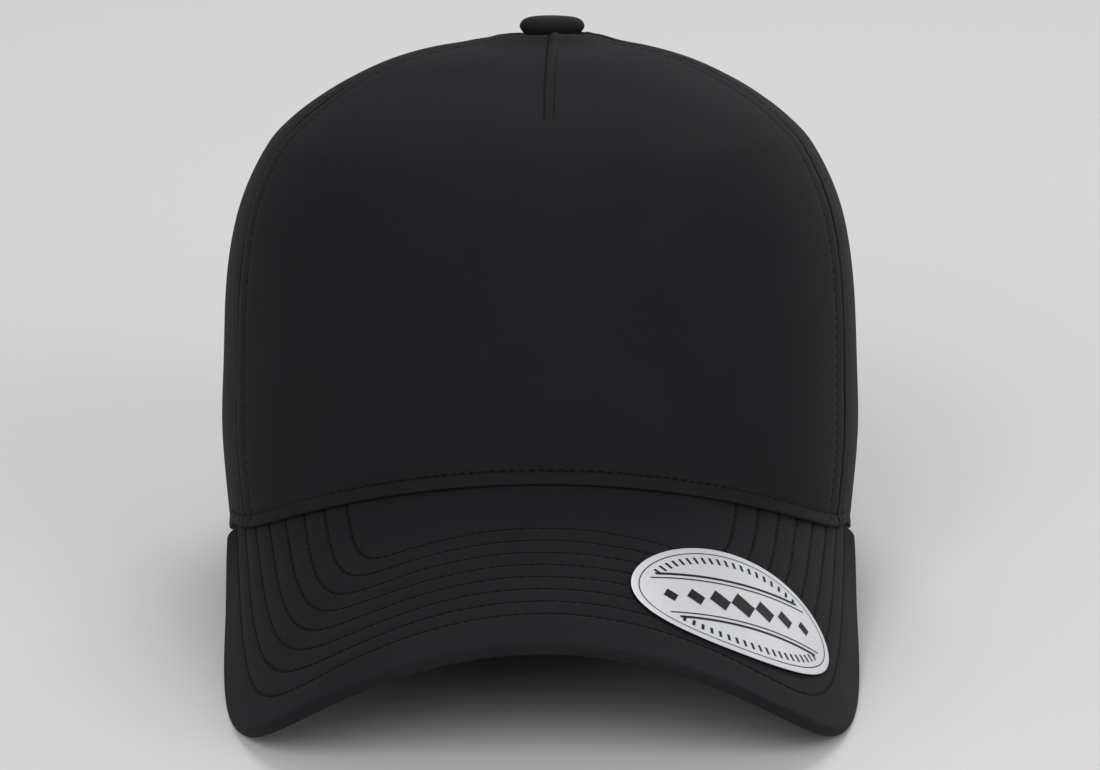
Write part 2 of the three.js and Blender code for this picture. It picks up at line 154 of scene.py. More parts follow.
def waves(across: Array, up: Array, seed: int, length: float) -> Array:
    """Sum a few slow waves in random directions, for the unevenness of worked cloth.

    Args:
        across: Distance across the cloth in millimetres.
        up: Distance up the cloth in millimetres.
        seed: Picks the directions.
        length: Typical length of a wave in millimetres.

    Returns:
        Values that stay between about -1 and 1.
    """
    random = np.random.default_rng(seed)
    total = np.zeros_like(across)
    for _ in range(6):
        turn = random.uniform(0, 2 * math.pi)
        period = length * random.uniform(0.6, 1.5)
        phase = random.uniform(0, 2 * math.pi)
        run = across * math.cos(turn) + up * math.sin(turn)
        total += np.sin(2 * math.pi * run / period + phase)
    return total / 3.5


def distance_to(points: Array, path: Array) -> Array:
    """Return the distance of each point of a grid from the nearest point of a path."""
    flat = points.reshape(-1, 3)
    nearest = np.empty(len(flat))
    for start in range(0, len(flat), BLOCK):
        part = flat[start : start + BLOCK, None, :] - path[None, :, :]
        nearest[start : start + BLOCK] = np.sqrt((part**2).sum(axis=2)).min(axis=1)
    return nearest.reshape(points.shape[:-1])


def edge_drop(distance: Array, reach: float, depth: float) -> Array:
    """Return how far a rounded edge has turned in at a distance from it.

    Args:
        distance: Distance from the edge in millimetres.
        reach: Distance over which the edge is round.
        depth: Depth at the very edge.

    Returns:
        Depth below the face.
    """
    part = np.clip(1 - distance / reach, 0, 1)
    return depth * (1 - np.sqrt(1 - part**2))


@dataclass(frozen=True)
class CapForm:
    """Surfaces of the cap in millimetres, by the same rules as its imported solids."""

    half_width: float = 85.7
    front_reach: float = 98.0
    back_reach: float = 98.0
    height: float = 132.0
    lean: float = 3.2
    lean_power: float = 6.0
    panel: float = 2.0
    gap: float = 0.3
    front_seam: float = 68.0
    front_sweep: float = 12.0
    rear_seam: float = 125.5
    rear_sweep: float = 5.0
    sweep_power: float = 1.5
    rim_blend: float = 9.0
    top_radius: float = 5.0
    visor_length: float = 69.0
    visor_half_span: float = 107.0
    visor_back_reach: float = 84.0
    visor_bend: float = 89.2
    visor_slope: float = 26.3 * DEGREE
    visor_seam_height: float = 25.4
    visor_squareness: float = 4.4
    visor_thickness: float = 3.0
    visor_edge_round: float = 0.9
    visor_end: float = 76.5 * DEGREE
    visor_press: float = 0.8
    arch_half_width: float = 42.0
    arch_height: float = 50.0
    arch_squareness: float = 2.4
    rim_touch: float = 80.0
    profile: tuple[tuple[float, ...], ...] = (
        (0.0, 0.0, 0.975, 0.99, 0.985),
        (0.14, 0.196, 1.0, 1.0, 1.0),
        (0.24, 0.339, 0.9965, 0.985, 0.99),
        (0.355, 0.503, 0.984, 0.949, 0.944),
        (0.445, 0.626, 0.956, 0.903, 0.878),
        (0.505, 0.709, 0.915, 0.852, 0.811),
        (0.57, 0.791, 0.847, 0.776, 0.719),
        (0.61, 0.832, 0.789, 0.714, 0.663),
        (0.655, 0.872, 0.713, 0.638, 0.587),
        (0.71, 0.914, 0.611, 0.531, 0.49),
        (0.78, 0.955, 0.475, 0.398, 0.362),
        (0.85, 0.981, 0.33, 0.27, 0.245),
        (0.93, 0.996, 0.155, 0.122, 0.112),
        (1.0, 1.0, 0.0, 0.0, 0.0),
    )

    def share(self, column: int, along: Array) -> Array:
        """Read one column of the profile on a smooth curve through its rows.

        Args:
            column: 1 for the rise, 2 for the side, 3 for the front, 4 for the back.
            along: Share of the way up.

        Returns:
            The column's value at each share.
        """
        table = np.array(self.profile)
        places, values = table[:, 0], table[:, column]
        before = np.maximum(np.arange(len(places)) - 1, 0)
        after = np.minimum(np.arange(len(places)) + 1, len(places) - 1)
        tangents = (values[after] - values[before]) / (places[after] - places[before])
        row = np.clip(np.searchsorted(places, along, side="left") - 1, 0, len(places) - 2)
        step = places[row + 1] - places[row]
        part = (along - places[row]) / step
        return (
            values[row] * (2 * part**3 - 3 * part**2 + 1)
            + tangents[row] * step * (part**3 - 2 * part**2 + part)
            + values[row + 1] * (3 * part**2 - 2 * part**3)
            + tangents[row + 1] * step * (part**3 - part**2)
        )

    def crown(self, angle: Array, along: Array) -> Array:
        """Return points of the crown's outer face, by angle from the front and way up."""
        angle, along = np.broadcast_arrays(np.asarray(angle, float), np.asarray(along, float))
        forward = np.cos(angle)
        reach = np.where(
            forward > 0,
            self.front_reach * self.share(3, along),
            self.back_reach * self.share(4, along),
        )
        side = self.half_width * self.share(2, along) * np.sin(angle)
        lean = self.lean * np.maximum(along, 0) ** self.lean_power
        return np.stack([side + lean, -reach * forward, self.height * self.share(1, along)], -1)

    def crown_normal(self, angle: Array, along: Array) -> Array:
        """Return the outward direction of the crown's face."""
        step = 1e-3
        angle, along = np.broadcast_arrays(np.asarray(angle, float), np.asarray(along, float))
        around = self.crown(angle + step, along) - self.crown(angle - step, along)
        low = np.maximum(along - step, 0)
        up = self.crown(angle, low + 2 * step) - self.crown(angle, low)
        normal = np.cross(around, up)
        return normal / np.linalg.norm(normal, axis=-1, keepdims=True)

    def inside(self, angle: Array, along: Array, depth: Array | float) -> Array:
        """Return points at a depth inside the crown's outer face."""
        depth = np.asarray(depth)[..., None]
        return self.crown(angle, along) - self.crown_normal(angle, along) * depth

    def radius(self, angle: Array, along: Array) -> Array:
        """Return the distance of the crown's face from its leaning middle line."""
        point = self.crown(angle, along)
        lean = self.lean * np.maximum(along, 0) ** self.lean_power
        return np.hypot(point[..., 0] - lean, point[..., 1])

    def at_height(self, height: Array) -> Array:
        """Return the share of the way up at which the crown has a height."""
        height = np.asarray(height, float)
        return along_where(lambda along: self.height * self.share(1, along), height)

    def top_along(self, angle: Array) -> Array:
        """Return where the panels' points stop, under the button."""
        target = np.full_like(angle, -self.top_radius)
        return along_where(lambda along: -self.radius(angle, along), target)

    def visor_height(self, x: Array, y: Array) -> Array:
        """Return the height of the visor's top face over a point of the plan."""
        limit = np.minimum(np.abs(x), self.visor_bend)
        drop = self.visor_bend - np.sqrt(self.visor_bend**2 - limit**2)
        fall = (-y - self.front_reach) * math.tan(self.visor_slope)
        return self.visor_seam_height - fall - drop / math.cos(self.visor_slope)

    def visor(self, across: Array, forward: Array) -> Array:
        """Return points of the visor's top face, by distance round the bend and forward."""
        across, forward = np.broadcast_arrays(across, forward)
        bend = across / self.visor_bend
        drop = self.visor_bend * (1 - np.cos(bend))
        sin, cos = math.sin(self.visor_slope), math.cos(self.visor_slope)
        y = -self.front_reach - forward * cos + drop * sin
        z = self.visor_seam_height - forward * sin - drop * cos
        return np.stack([self.visor_bend * np.sin(bend), y, z], -1)

    def visor_flat(self, points: Array) -> tuple[Array, Array]:
        """Return the distances round the bend and forward of points on the visor."""
        side = np.clip(points[..., 0] / self.visor_bend, -1, 1)
        across = self.visor_bend * np.arcsin(side)
        drop = self.visor_bend * (1 - np.cos(across / self.visor_bend))
        sin, cos = math.sin(self.visor_slope), math.cos(self.visor_slope)
        forward = (-self.front_reach - points[..., 1] + drop * sin) / cos
        return across, forward

    def visor_normal(self, x: Array) -> Array:
        """Return the upward direction of the visor's top face."""
        side = np.clip(x / self.visor_bend, -1, 1)
        up = np.sqrt(1 - side**2)
        return np.stack(
            [side, -math.sin(self.visor_slope) * up, math.cos(self.visor_slope) * up], -1
        )

    def outline_flat(
        self, angle: Array, span: float, reach: float, power: float
    ) -> tuple[Array, Array]:
        """Return one squared oval of the visor, flat on its board.

        Args:
            angle: Direction in radians, 0 straight forward.
            span: Half of its width.
            reach: How far forward its middle is from the crown.
            power: Squareness, 2 is an ellipse.

        Returns:
            Distances round the bend and forward.
        """
        side, ahead = np.abs(np.sin(angle)), np.cos(angle)
        radius = (side**power + np.abs(ahead) ** power) ** (-1 / power)
        across = np.sign(angle) * span * radius * side
        return across, (reach + self.visor_back_reach) * radius * ahead - self.visor_back_reach

    def outline(self, turn: Array, inset: Array | float) -> Array:
        """Return points of the visor's outline, from turn -1 at the left end to 1."""
        across, forward = self.outline_flat(
            np.asarray(turn) * math.pi / 2,
            self.visor_half_span - inset,
            self.visor_length - inset,
            self.visor_squareness,
        )
        return self.visor(across, forward)

    def seam_along(self, angle: Array, depth: float, clearance: float) -> Array:
        """Return where the crown's face at a depth meets the visor's top face."""

        def over(along: Array) -> Array:
            point = self.inside(angle, along, np.full_like(angle, depth))
            return point[..., 2] - self.visor_height(point[..., 0], point[..., 1])

        return along_where(over, np.full_like(angle, clearance))

    def rim_along(self, angle: Array) -> Array:
        """Return the crown's lower edge: it sits on the visor, and runs level behind it."""
        limit = np.clip(angle, -self.visor_end, self.visor_end)
        end = self.visor_end + self.rim_blend * DEGREE
        behind = smooth_step(np.abs(angle), self.visor_end, end)
        return self.seam_along(limit, 0.0, self.gap) * (1 - behind)

    def seam(self, which: str, along: Array) -> Array:
        """Return a seam's angle, which sweeps round on the way up."""
        rise = np.maximum(along, 0) ** self.sweep_power
        if which == "front":
            return (self.front_seam + self.front_sweep * rise) * DEGREE
        if which == "rear":
            return (self.rear_seam + self.rear_sweep * rise) * DEGREE
        return np.full_like(np.asarray(along, float), math.pi)

    def back_angle(self, distance: Array | float) -> Array:
        """Return the angle at a distance round the rim from the middle of the back."""
        return math.pi - np.asarray(distance) / self.back_reach

    def end_turn(self) -> float:
        """Return the outline's turn at which it comes level with the end of the seam."""
        end = np.array([self.visor_end])
        level = self.crown(end, self.seam_along(end, 0.0, 0.0))[0, 1]
        low, high = 0.5, 1.0
        for _ in range(40):
            middle = (low + high) / 2
            ahead = self.outline(np.array([middle]), 0.0)[0, 1] < level
            low, high = (middle, high) if ahead else (low, middle)
        return low

    def rest_slope(self) -> float:
        """Return the slope of the floor against the rim: the visor's corners touch it."""
        edge = self.outline(np.linspace(0, self.end_turn(), 45), self.visor_edge_round)
        edge = edge - self.visor_normal(edge[:, 0]) * self.visor_thickness
        return float(np.max(-(edge[:, 2] + self.visor_press) / (self.rim_touch - edge[:, 1])))


class RowFrame:
    """Takes points from the cap's own frame to the row's frame in metres."""

    def __init__(self, form: CapForm) -> None:
        """Find the tilt from the form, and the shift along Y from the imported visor."""
        self.form = form
        self.slope = form.rest_slope()
        self.tilt = math.atan(self.slope)
        self.lift = form.rim_touch * math.sin(self.tilt)
        rim = form.outline(np.array([0.0]), 0.0)
        rim = rim - form.visor_normal(rim[:, 0]) * form.visor_thickness / 2
        self.shift = 0.0
        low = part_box("visor")[0]
        self.shift = (low[1] - self.place(rim)[0, 1]) / MM

    def place(self, points: Array) -> Array:
        """Return points of the cap's frame as metres of the row's frame."""
        cos, sin = math.cos(self.tilt), math.sin(self.tilt)
        y = points[..., 1] * cos + points[..., 2] * sin + self.shift
        z = -points[..., 1] * sin + points[..., 2] * cos + self.lift
        return np.stack([points[..., 0], y, z], -1) * MM

    def turn(self, directions: Array) -> Array:
        """Return directions of the cap's frame as directions of the row's frame."""
        cos, sin = math.cos(self.tilt), math.sin(self.tilt)
        y = directions[..., 1] * cos + directions[..., 2] * sin
        z = -directions[..., 1] * sin + directions[..., 2] * cos
        return np.stack([directions[..., 0], y, z], -1)

    def press(self, points: Array, clearance: float = 0.0) -> Array:
        """Lay cloth that would pass through the floor flat on it."""
        floor = (points[..., 1] - self.form.rim_touch) * self.slope + clearance
        pressed = points.copy()
        pressed[..., 2] = np.maximum(points[..., 2], floor)
        return pressed


# Meshes


def quads_of(number: Array) -> Array:
    """Return the four-sided faces of a grid of point numbers."""
    corner = [number[:-1, :-1], number[1:, :-1], number[1:, 1:], number[:-1, 1:]]
    return np.stack(corner, -1).reshape(-1, 4)


def shell_mesh(
    name: str, outer: Array, inner: Array, maps: dict[str, tuple[Array, Array]]
) -> bpy.types.Mesh:
    """Join two grids that meet along their borders into one closed wall.

    Args:
        name: Name of the mesh.
        outer: Grid of the outer face in metres, by column and row.
        inner: Grid of the inner face, with the same border as the outer face.
        maps: Named UV maps, each a grid for the outer face and one for the inner face.

    Returns:
        The mesh, with smooth faces that point outwards.
    """
    columns, rows = outer.shape[:2]
    number = np.arange(columns * rows).reshape(columns, rows)
    under = number.copy()
    core = (columns - 2) * (rows - 2)
    under[1:-1, 1:-1] = columns * rows + np.arange(core).reshape(columns - 2, rows - 2)
    points = np.concatenate([outer.reshape(-1, 3), inner[1:-1, 1:-1].reshape(-1, 3)])
    faces = np.concatenate([quads_of(number), quads_of(under)[:, ::-1]])
    corner = points[faces]
    normals = np.cross(corner[:, 2] - corner[:, 0], corner[:, 3] - corner[:, 1])
    order = -1 if (normals * corner.mean(axis=1)).sum() < 0 else 1
    mesh = mesh_of(name, points, faces[:, ::order].tolist())
    for title, (upper, lower) in maps.items():
        flat = [grid.reshape(-1, 2)[quads_of(number)] for grid in (upper, lower)]
        both = np.concatenate([flat[0], flat[1][:, ::-1]])
        add_map(mesh, title, both[:, ::order].reshape(-1, 2))
    return mesh


def mesh_of(name: str, points: Array, faces: list[list[int]]) -> bpy.types.Mesh:
    """Build a smooth mesh from points in metres and a list of faces."""
    mesh = bpy.data.meshes.new(name)
    mesh.from_pydata(points.tolist(), [], faces)
    mesh.polygons.foreach_set("use_smooth", [True] * len(mesh.polygons))
    mesh.update()
    return mesh


def add_map(mesh: bpy.types.Mesh, title: str, values: Array) -> None:
    """Store a UV map of a mesh, one pair of values for each face corner."""
    layer = mesh.uv_layers.new(name=title, do_init=False)
    layer.uv.foreach_set("vector", np.ascontiguousarray(values, dtype=np.float32).ravel())


def map_pair(outer: tuple[Array, Array], inner: tuple[Array, Array]) -> tuple[Array, Array]:
    """Stack the two values of a UV map for the outer and the inner face."""
    return (
        np.stack(np.broadcast_arrays(*outer), -1),
        np.stack(np.broadcast_arrays(*inner), -1),
    )


def share_border(grid: Array, other: Array) -> None:
    """Give a grid of points the border of another grid."""
    for index in (0, -1):
        grid[index] = other[index]
        grid[:, index] = other[:, index]


def running(points: Array, axis: int) -> Array:
    """Return the distance run along an axis of a grid of points."""
    steps = np.linalg.norm(np.diff(points, axis=axis), axis=-1)
    start = np.zeros_like(np.take(steps, [0], axis=axis))
    return np.concatenate([start, np.cumsum(steps, axis=axis)], axis=axis)


def finished(
    name: str, mesh: bpy.types.Mesh, material: bpy.types.Material, slot: Slot, *nodes: str
) -> bpy.types.Object:
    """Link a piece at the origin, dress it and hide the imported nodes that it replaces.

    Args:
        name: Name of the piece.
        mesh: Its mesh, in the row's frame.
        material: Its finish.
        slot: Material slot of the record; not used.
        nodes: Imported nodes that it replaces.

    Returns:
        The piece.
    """
    piece = bpy.data.objects.new(name, mesh)
    bpy.context.scene.collection.objects.link(piece)
    if not mesh.materials:
        mesh.materials.append(material)
    if nodes:
        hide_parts(*nodes)
    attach(piece, ROOT)
    log.info("%s: %d faces", name, len(mesh.polygons))
    return piece


# Finishes


def linear(colour: str) -> tuple[float, float, float, float]:
    """Turn an sRGB hex colour into linear RGBA."""
    parts = [int(colour[i : i + 2], 16) / 255 for i in (1, 3, 5)]
    curve = [p / 12.92 if p <= 0.04045 else ((p + 0.055) / 1.055) ** 2.4 for p in parts]
    return (curve[0], curve[1], curve[2], 1.0)


def add_node(
    tree: bpy.types.NodeTree,
    kind: str,
    settings: dict[str, Any] | None = None,
    inputs: dict[str | int, Any] | None = None,
) -> bpy.types.Node:
    """Add a node, set its properties, and set or link its inputs.

    Args:
        tree: Node tree that gets it.
        kind: Type name of the node.
        settings: Properties by name.
        inputs: Values or output sockets by the input's name or number.

    Returns:
        The node.
    """
    node = tree.nodes.new(kind)
    for name, value in (settings or {}).items():
        setattr(node, name, value)
    set_inputs(tree, node, inputs or {})
    return node


def set_inputs(
    tree: bpy.types.NodeTree, node: bpy.types.Node, inputs: dict[str | int, Any]
) -> None:
    """Link each input that is given a socket, and set the others."""
    for name, value in inputs.items():
        if isinstance(value, bpy.types.NodeSocket):
            tree.links.new(value, node.inputs[name])
        else:
            node.inputs[name].default_value = value


Socket = bpy.types.NodeSocket
BAND_SCALE = {"X": 0.314, "DIAGONAL": 0.444}  # scale at which a wave texture repeats after 1


class Recipe:
    """A material in the making: its node tree, its shader and short ways to add nodes."""

    def __init__(self, name: str) -> None:
        """Start a node material with a shader and an output."""
        self.material = bpy.data.materials.new(name)
        self.material.use_nodes = True
        self.tree = self.material.node_tree
        self.tree.nodes.clear()
        self.shader = add_node(self.tree, "ShaderNodeBsdfPrincipled")
        surface = {"Surface": self.shader.outputs["BSDF"]}
        add_node(self.tree, "ShaderNodeOutputMaterial", None, surface)

    def uv(self, title: str) -> Socket:
        """Read one of the piece's own UV maps."""
        return add_node(self.tree, "ShaderNodeUVMap", {"uv_map": title}).outputs["UV"]

    def place(self) -> Socket:
        """Read the place on the piece in metres."""
        return add_node(self.tree, "ShaderNodeTexCoord").outputs["Object"]

    def noise(self, place: Socket, scale: float, detail: float) -> Socket:
        """Add a cloudy noise between 0 and 1."""
        inputs = {"Vector": place, "Scale": scale, "Detail": detail}
        return add_node(self.tree, "ShaderNodeTexNoise", None, inputs).outputs["Fac"]

    def bands(
        self, place: Socket, period: float, way: str = "DIAGONAL", **uneven: float
    ) -> Socket:
        """Add soft bands.

        Args:
            place: Where the bands are read.
            period: Distance from band to band, in the units of the place.
            way: Direction across the bands.
            uneven: Distortion, detail and detail_scale of the bands.

        Returns:
            Value between 0 and 1.
        """
        inputs = {"Vector": place, "Scale": BAND_SCALE[way] / period}
        inputs |= {name.replace("_", " ").title(): value for name, value in uneven.items()}
        settings = {"wave_type": "BANDS", "bands_direction": way}
        return add_node(self.tree, "ShaderNodeTexWave", settings, inputs).outputs["Fac"]

    def calculate(self, operation: str, *values: Socket | float, clamp: bool = False) -> Socket:
        """Work out a sum of one to three values."""
        settings = {"operation": operation, "use_clamp": clamp}
        inputs = dict(enumerate(values))
        return add_node(self.tree, "ShaderNodeMath", settings, inputs).outputs[0]

    def span(
        self,
        value: Socket,
        source: tuple[float, float] = (0.0, 1.0),
        target: tuple[float, float] = (0.0, 1.0),
        smooth: bool = False,
    ) -> Socket:
        """Map a value from one range to another, in a straight line or smoothly."""
        ends = dict(zip(("From Min", "From Max", "To Min", "To Max"), (*source, *target)))
        settings = {"interpolation_type": "SMOOTHSTEP" if smooth else "LINEAR"}
        inputs = {"Value": value, **ends}
        return add_node(self.tree, "ShaderNodeMapRange", settings, inputs).outputs[0]

    def blend(self, part: Socket, dark: str, light: str | Socket) -> Socket:
        """Mix a hex colour with another hex colour or with a mixed one."""
        other = linear(light) if isinstance(light, str) else light
        inputs = {0: part, 6: linear(dark), 7: other}
        return add_node(self.tree, "ShaderNodeMix", {"data_type": "RGBA"}, inputs).outputs[2]

    def bump(self, height: Socket, depth: float, normal: Socket | None = None) -> Socket:
        """Add a bump of a depth in millimetres, on top of another one if it is given."""
        inputs = {"Distance": depth * MM, "Height": height}
        if normal is not None:
            inputs["Normal"] = normal
        return add_node(self.tree, "ShaderNodeBump", None, inputs).outputs["Normal"]

    def done(self, inputs: dict[str, Any]) -> bpy.types.Material:
        """Set or link the shader's inputs, and return the material."""
        set_inputs(self.tree, self.shader, inputs)
        return self.material


@dataclass(frozen=True)
class SewnCloth:
    """Woven polyester twill, dyed in the yarn and pressed: even, dark and slightly soft."""

    name: str = "polyester_twill_woven"
    dark: str = "#151416"
    light: str = "#1d1c1f"
    # colour of the painted shade in the stitched channels, the seams and the dart's crease
    painted_shade: str = "#0d0c0f"
    sheen_tint: str = "#b9bac4"
    roughness: float = 0.84
    specular: float = 0.13
    sheen: float = 0.035
    sheen_roughness: float = 0.45
    twill_period: float = 0.6  # millimetres, a half more than the real one so that it shows
    twill_depth: float = 0.022
    yarn_share: float = 0.4
    slub_share: float = 4.0
    twill_tone: float = 0.35
    row_spacing: float = 6.0
    row_half_width: float = 0.8
    row_depth: float = 0.34
    stitch_pitch: float = 2.5
    pucker: float = 0.16

    def material(self) -> bpy.types.Material:
        """Build the cloth: weave, stitched channels, seams and the dart's crease darkened as painted
        shade, and a little uneven dye.

        Returns:
            The material. It reads the UV maps weave, rows and hem, in millimetres and rows.
        """
        recipe = Recipe(self.name)
        weave = recipe.uv("weave")
        twill = recipe.bands(
            weave, self.twill_period, distortion=4.0, detail=3.0, detail_scale=0.9
        )
        yarn = recipe.bands(weave, self.twill_period, "X", distortion=1.6)
        slub = recipe.noise(weave, 0.85, 4.0)
        relief = recipe.calculate("MULTIPLY_ADD", yarn, self.yarn_share, twill)
        relief = recipe.calculate("MULTIPLY_ADD", slub, self.slub_share, relief)
        woven = recipe.bump(relief, self.twill_depth)
        low = recipe.calculate("MINIMUM", self.channel(recipe, "rows"), self.channel(recipe, "hem"))
        dye = recipe.noise(weave, 0.035, 4.0)
        mixed = recipe.calculate("MULTIPLY_ADD", twill, self.twill_tone, dye, clamp=True)
        colour = recipe.blend(mixed, self.dark, self.light)
        # painted shade: the base colour darkens towards the shade colour in the channels, seams and
        # dart's crease
        pressed = recipe.span(low, (0.05, 0.75), smooth=True)
        return recipe.done(
            {
                "Base Color": recipe.blend(pressed, self.painted_shade, colour),
                "Normal": recipe.bump(low, self.row_depth, woven),
                "Roughness": self.roughness,
                "Specular IOR Level": self.specular,
                "Sheen Weight": self.sheen,
                "Sheen Roughness": self.sheen_roughness,
                "Sheen Tint": linear(self.sheen_tint),
            }
        )

    def channel(self, recipe: Recipe, title: str) -> Socket:
        """Draw a channel at each whole number of a map's first value, puckered by its second.

        Args:
            recipe: The cloth in the making.
            title: UV map, row number and distance along the row.

        Returns:
            Height between 0 in the channel and 1 beside it.
        """
        split = add_node(recipe.tree, "ShaderNodeSeparateXYZ", None, {0: recipe.uv(title)})
        half = self.row_half_width / self.row_spacing
        near = recipe.calculate("PINGPONG", split.outputs["X"], 0.5)
        height = recipe.span(near, (0.0, half), smooth=True)
        turn = recipe.calculate("MULTIPLY", split.outputs["Y"], 2 * math.pi / self.stitch_pitch)
        close = recipe.span(near, (0.0, 3 * half), (self.pucker, 0.0), smooth=True)
        return recipe.calculate("MULTIPLY_ADD", recipe.calculate("SINE", turn), close, height)


@dataclass(frozen=True)
class BandCloth:
    """Brushed cotton twill of a sweatband: matt, a little fuzzy, finely ribbed."""

    name: str = "cotton_twill_brushed"
    dark: str = "#19191b"
    light: str = "#222225"
    rib_period: float = 0.9  # millimetres
    rib_depth: float = 0.06

    def material(self) -> bpy.types.Material:
        """Build the cloth with fine ribs and fuzz."""
        recipe = Recipe(self.name)
        weave = recipe.uv("weave")
        rib = recipe.bands(weave, self.rib_period, distortion=1.2, detail=2.0)
        fuzz = recipe.noise(weave, 0.9, 6.0)
        return recipe.done(
            {
                "Base Color": recipe.blend(fuzz, self.dark, self.light),
                "Normal": recipe.bump(recipe.calculate("ADD", rib, fuzz), self.rib_depth),
                "Roughness": 0.92,
                "Specular IOR Level": 0.25,
                "Sheen Weight": 0.25,
                "Sheen Roughness": 0.5,
            }
        )


@dataclass(frozen=True)
class SewingThread:
    """Bonded polyester sewing thread: dark, waxed and twisted, with a faint glint."""

    name: str = "polyester_thread_twisted"
    dark: str = "#040405"
    light: str = "#0b0b0c"
    ply_period: float = 0.7  # millimetres between turns of the twist
    ply_depth: float = 0.04

    def material(self) -> bpy.types.Material:
        """Build the thread, with a fine twist along it."""
        recipe = Recipe(self.name)
        twist = recipe.bands(recipe.place(), self.ply_period * MM)
        return recipe.done(
            {
                "Base Color": recipe.blend(twist, self.dark, self.light),
                "Normal": recipe.bump(twist, self.ply_depth),
                "Roughness": 0.7,
                "Specular IOR Level": 0.08,
            }
        )


@dataclass(frozen=True)
class StrapPlastic:
    """Polyethylene strap, injection moulded in a lightly textured tool: satin and dark."""

    name: str = "polyethylene_moulded"
    dark: str = "#161618"
    light: str = "#1d1d20"
    grain: float = 0.35  # millimetres
    grain_depth: float = 0.012
    roughness: tuple[float, float] = (0.36, 0.52)

    def material(self) -> bpy.types.Material:
        """Build the plastic with its fine tool texture."""
        recipe = Recipe(self.name)
        place = recipe.place()
        grain = recipe.noise(place, 1 / (self.grain * MM), 3.0)
        cloud = recipe.noise(place, 60.0, 4.0)
        return recipe.done(
            {
                "Base Color": recipe.blend(cloud, self.dark, self.light),
                "Normal": recipe.bump(grain, self.grain_depth),
                "Roughness": recipe.span(cloud, target=self.roughness),
                "IOR": 1.51,
            }
        )


@dataclass(frozen=True)
class SilverFoil:
    """Aluminised polyester film with a satin face: a soft grey metal."""

    name: str = "aluminised_film_satin"
    dark: str = "#d0d1d3"
    light: str = "#e4e5e7"
    mark_depth: float = 0.008
    mark_shape: tuple[float, float, float] = (0.25, 2.2, 1.0)
    roughness: tuple[float, float] = (0.5, 0.62)
    metallic: float = 0.72

    def material(self) -> bpy.types.Material:
        """Build the film, with fine rolling marks along it."""
        recipe = Recipe(self.name)
        flat = recipe.uv("weave")
        inputs = {"Vector": flat, "Scale": self.mark_shape}
        drawn = add_node(recipe.tree, "ShaderNodeMapping", None, inputs).outputs[0]
        marks = recipe.noise(drawn, 1.6, 5.0)
        cloud = recipe.noise(flat, 0.12, 3.0)
        return recipe.done(
            {
                "Base Color": recipe.blend(marks, self.dark, self.light),
                "Normal": recipe.bump(marks, self.mark_depth),
                "Roughness": recipe.span(cloud, target=self.roughness),
                "Metallic": self.metallic,
            }
        )


@dataclass(frozen=True)
class LabelInk:
    """Black screen ink on film: flat, with slightly uneven cover."""

    name: str = "screen_ink_printed"
    dark: str = "#060607"
    light: str = "#0c0c0e"
    roughness: tuple[float, float] = (0.5, 0.65)

    def material(self) -> bpy.types.Material:
        """Build the ink."""
        recipe = Recipe(self.name)
        cover = recipe.noise(recipe.place(), 900.0, 3.0)
        return recipe.done(
            {
                "Base Color": recipe.blend(cover, self.dark, self.light),
                "Roughness": recipe.span(cover, target=self.roughness),
                "Specular IOR Level": 0.2,
            }
        )


@dataclass(frozen=True)
class Finishes:
    """Every finish of the cap, built once."""

    cloth: bpy.types.Material = field(default_factory=lambda: SewnCloth().material())
    band: bpy.types.Material = field(default_factory=lambda: BandCloth().material())
    thread: bpy.types.Material = field(default_factory=lambda: SewingThread().material())
    plastic: bpy.types.Material = field(default_factory=lambda: StrapPlastic().material())
    foil: bpy.types.Material = field(default_factory=lambda: SilverFoil().material())
    ink: bpy.types.Material = field(default_factory=lambda: LabelInk().material())


# Repeats along paths

RUN_SIZES = ("Pitch", "Length", "Width", "Height")


@dataclass
class Run:
    """One path on a surface, in millimetres of the cap's frame, with the way out of it."""

    points: Array
    out: Array


class ClothFace:
    """The outer faces of cloth that stitches are laid on, in the cap's frame."""

    def __init__(self, grids: list[Array]) -> None:
        """Gather the faces of one or more grids of points."""
        faces: list[Array] = []
        count = 0
        for grid in grids:
            number = np.arange(grid.size // 3).reshape(grid.shape[:2]) + count
            faces.append(quads_of(number))
            count += number.size
        points = np.concatenate([grid.reshape(-1, 3) for grid in grids])
        self.tree = BVHTree.FromPolygons(points.tolist(), np.concatenate(faces).tolist())

    def lay(self, run: Run, sink: float) -> Run:
        """Return a run laid on the cloth and sunk a little into it."""
        found = [self.tree.find_nearest(point) for point in run.points.tolist()]
        points = np.array([place for place, *_ in found])
        out = np.array([normal for _, normal, *_ in found])
        out *= np.sign((out * run.out).sum(axis=1))[:, None]
        return Run(points - out * sink, out)


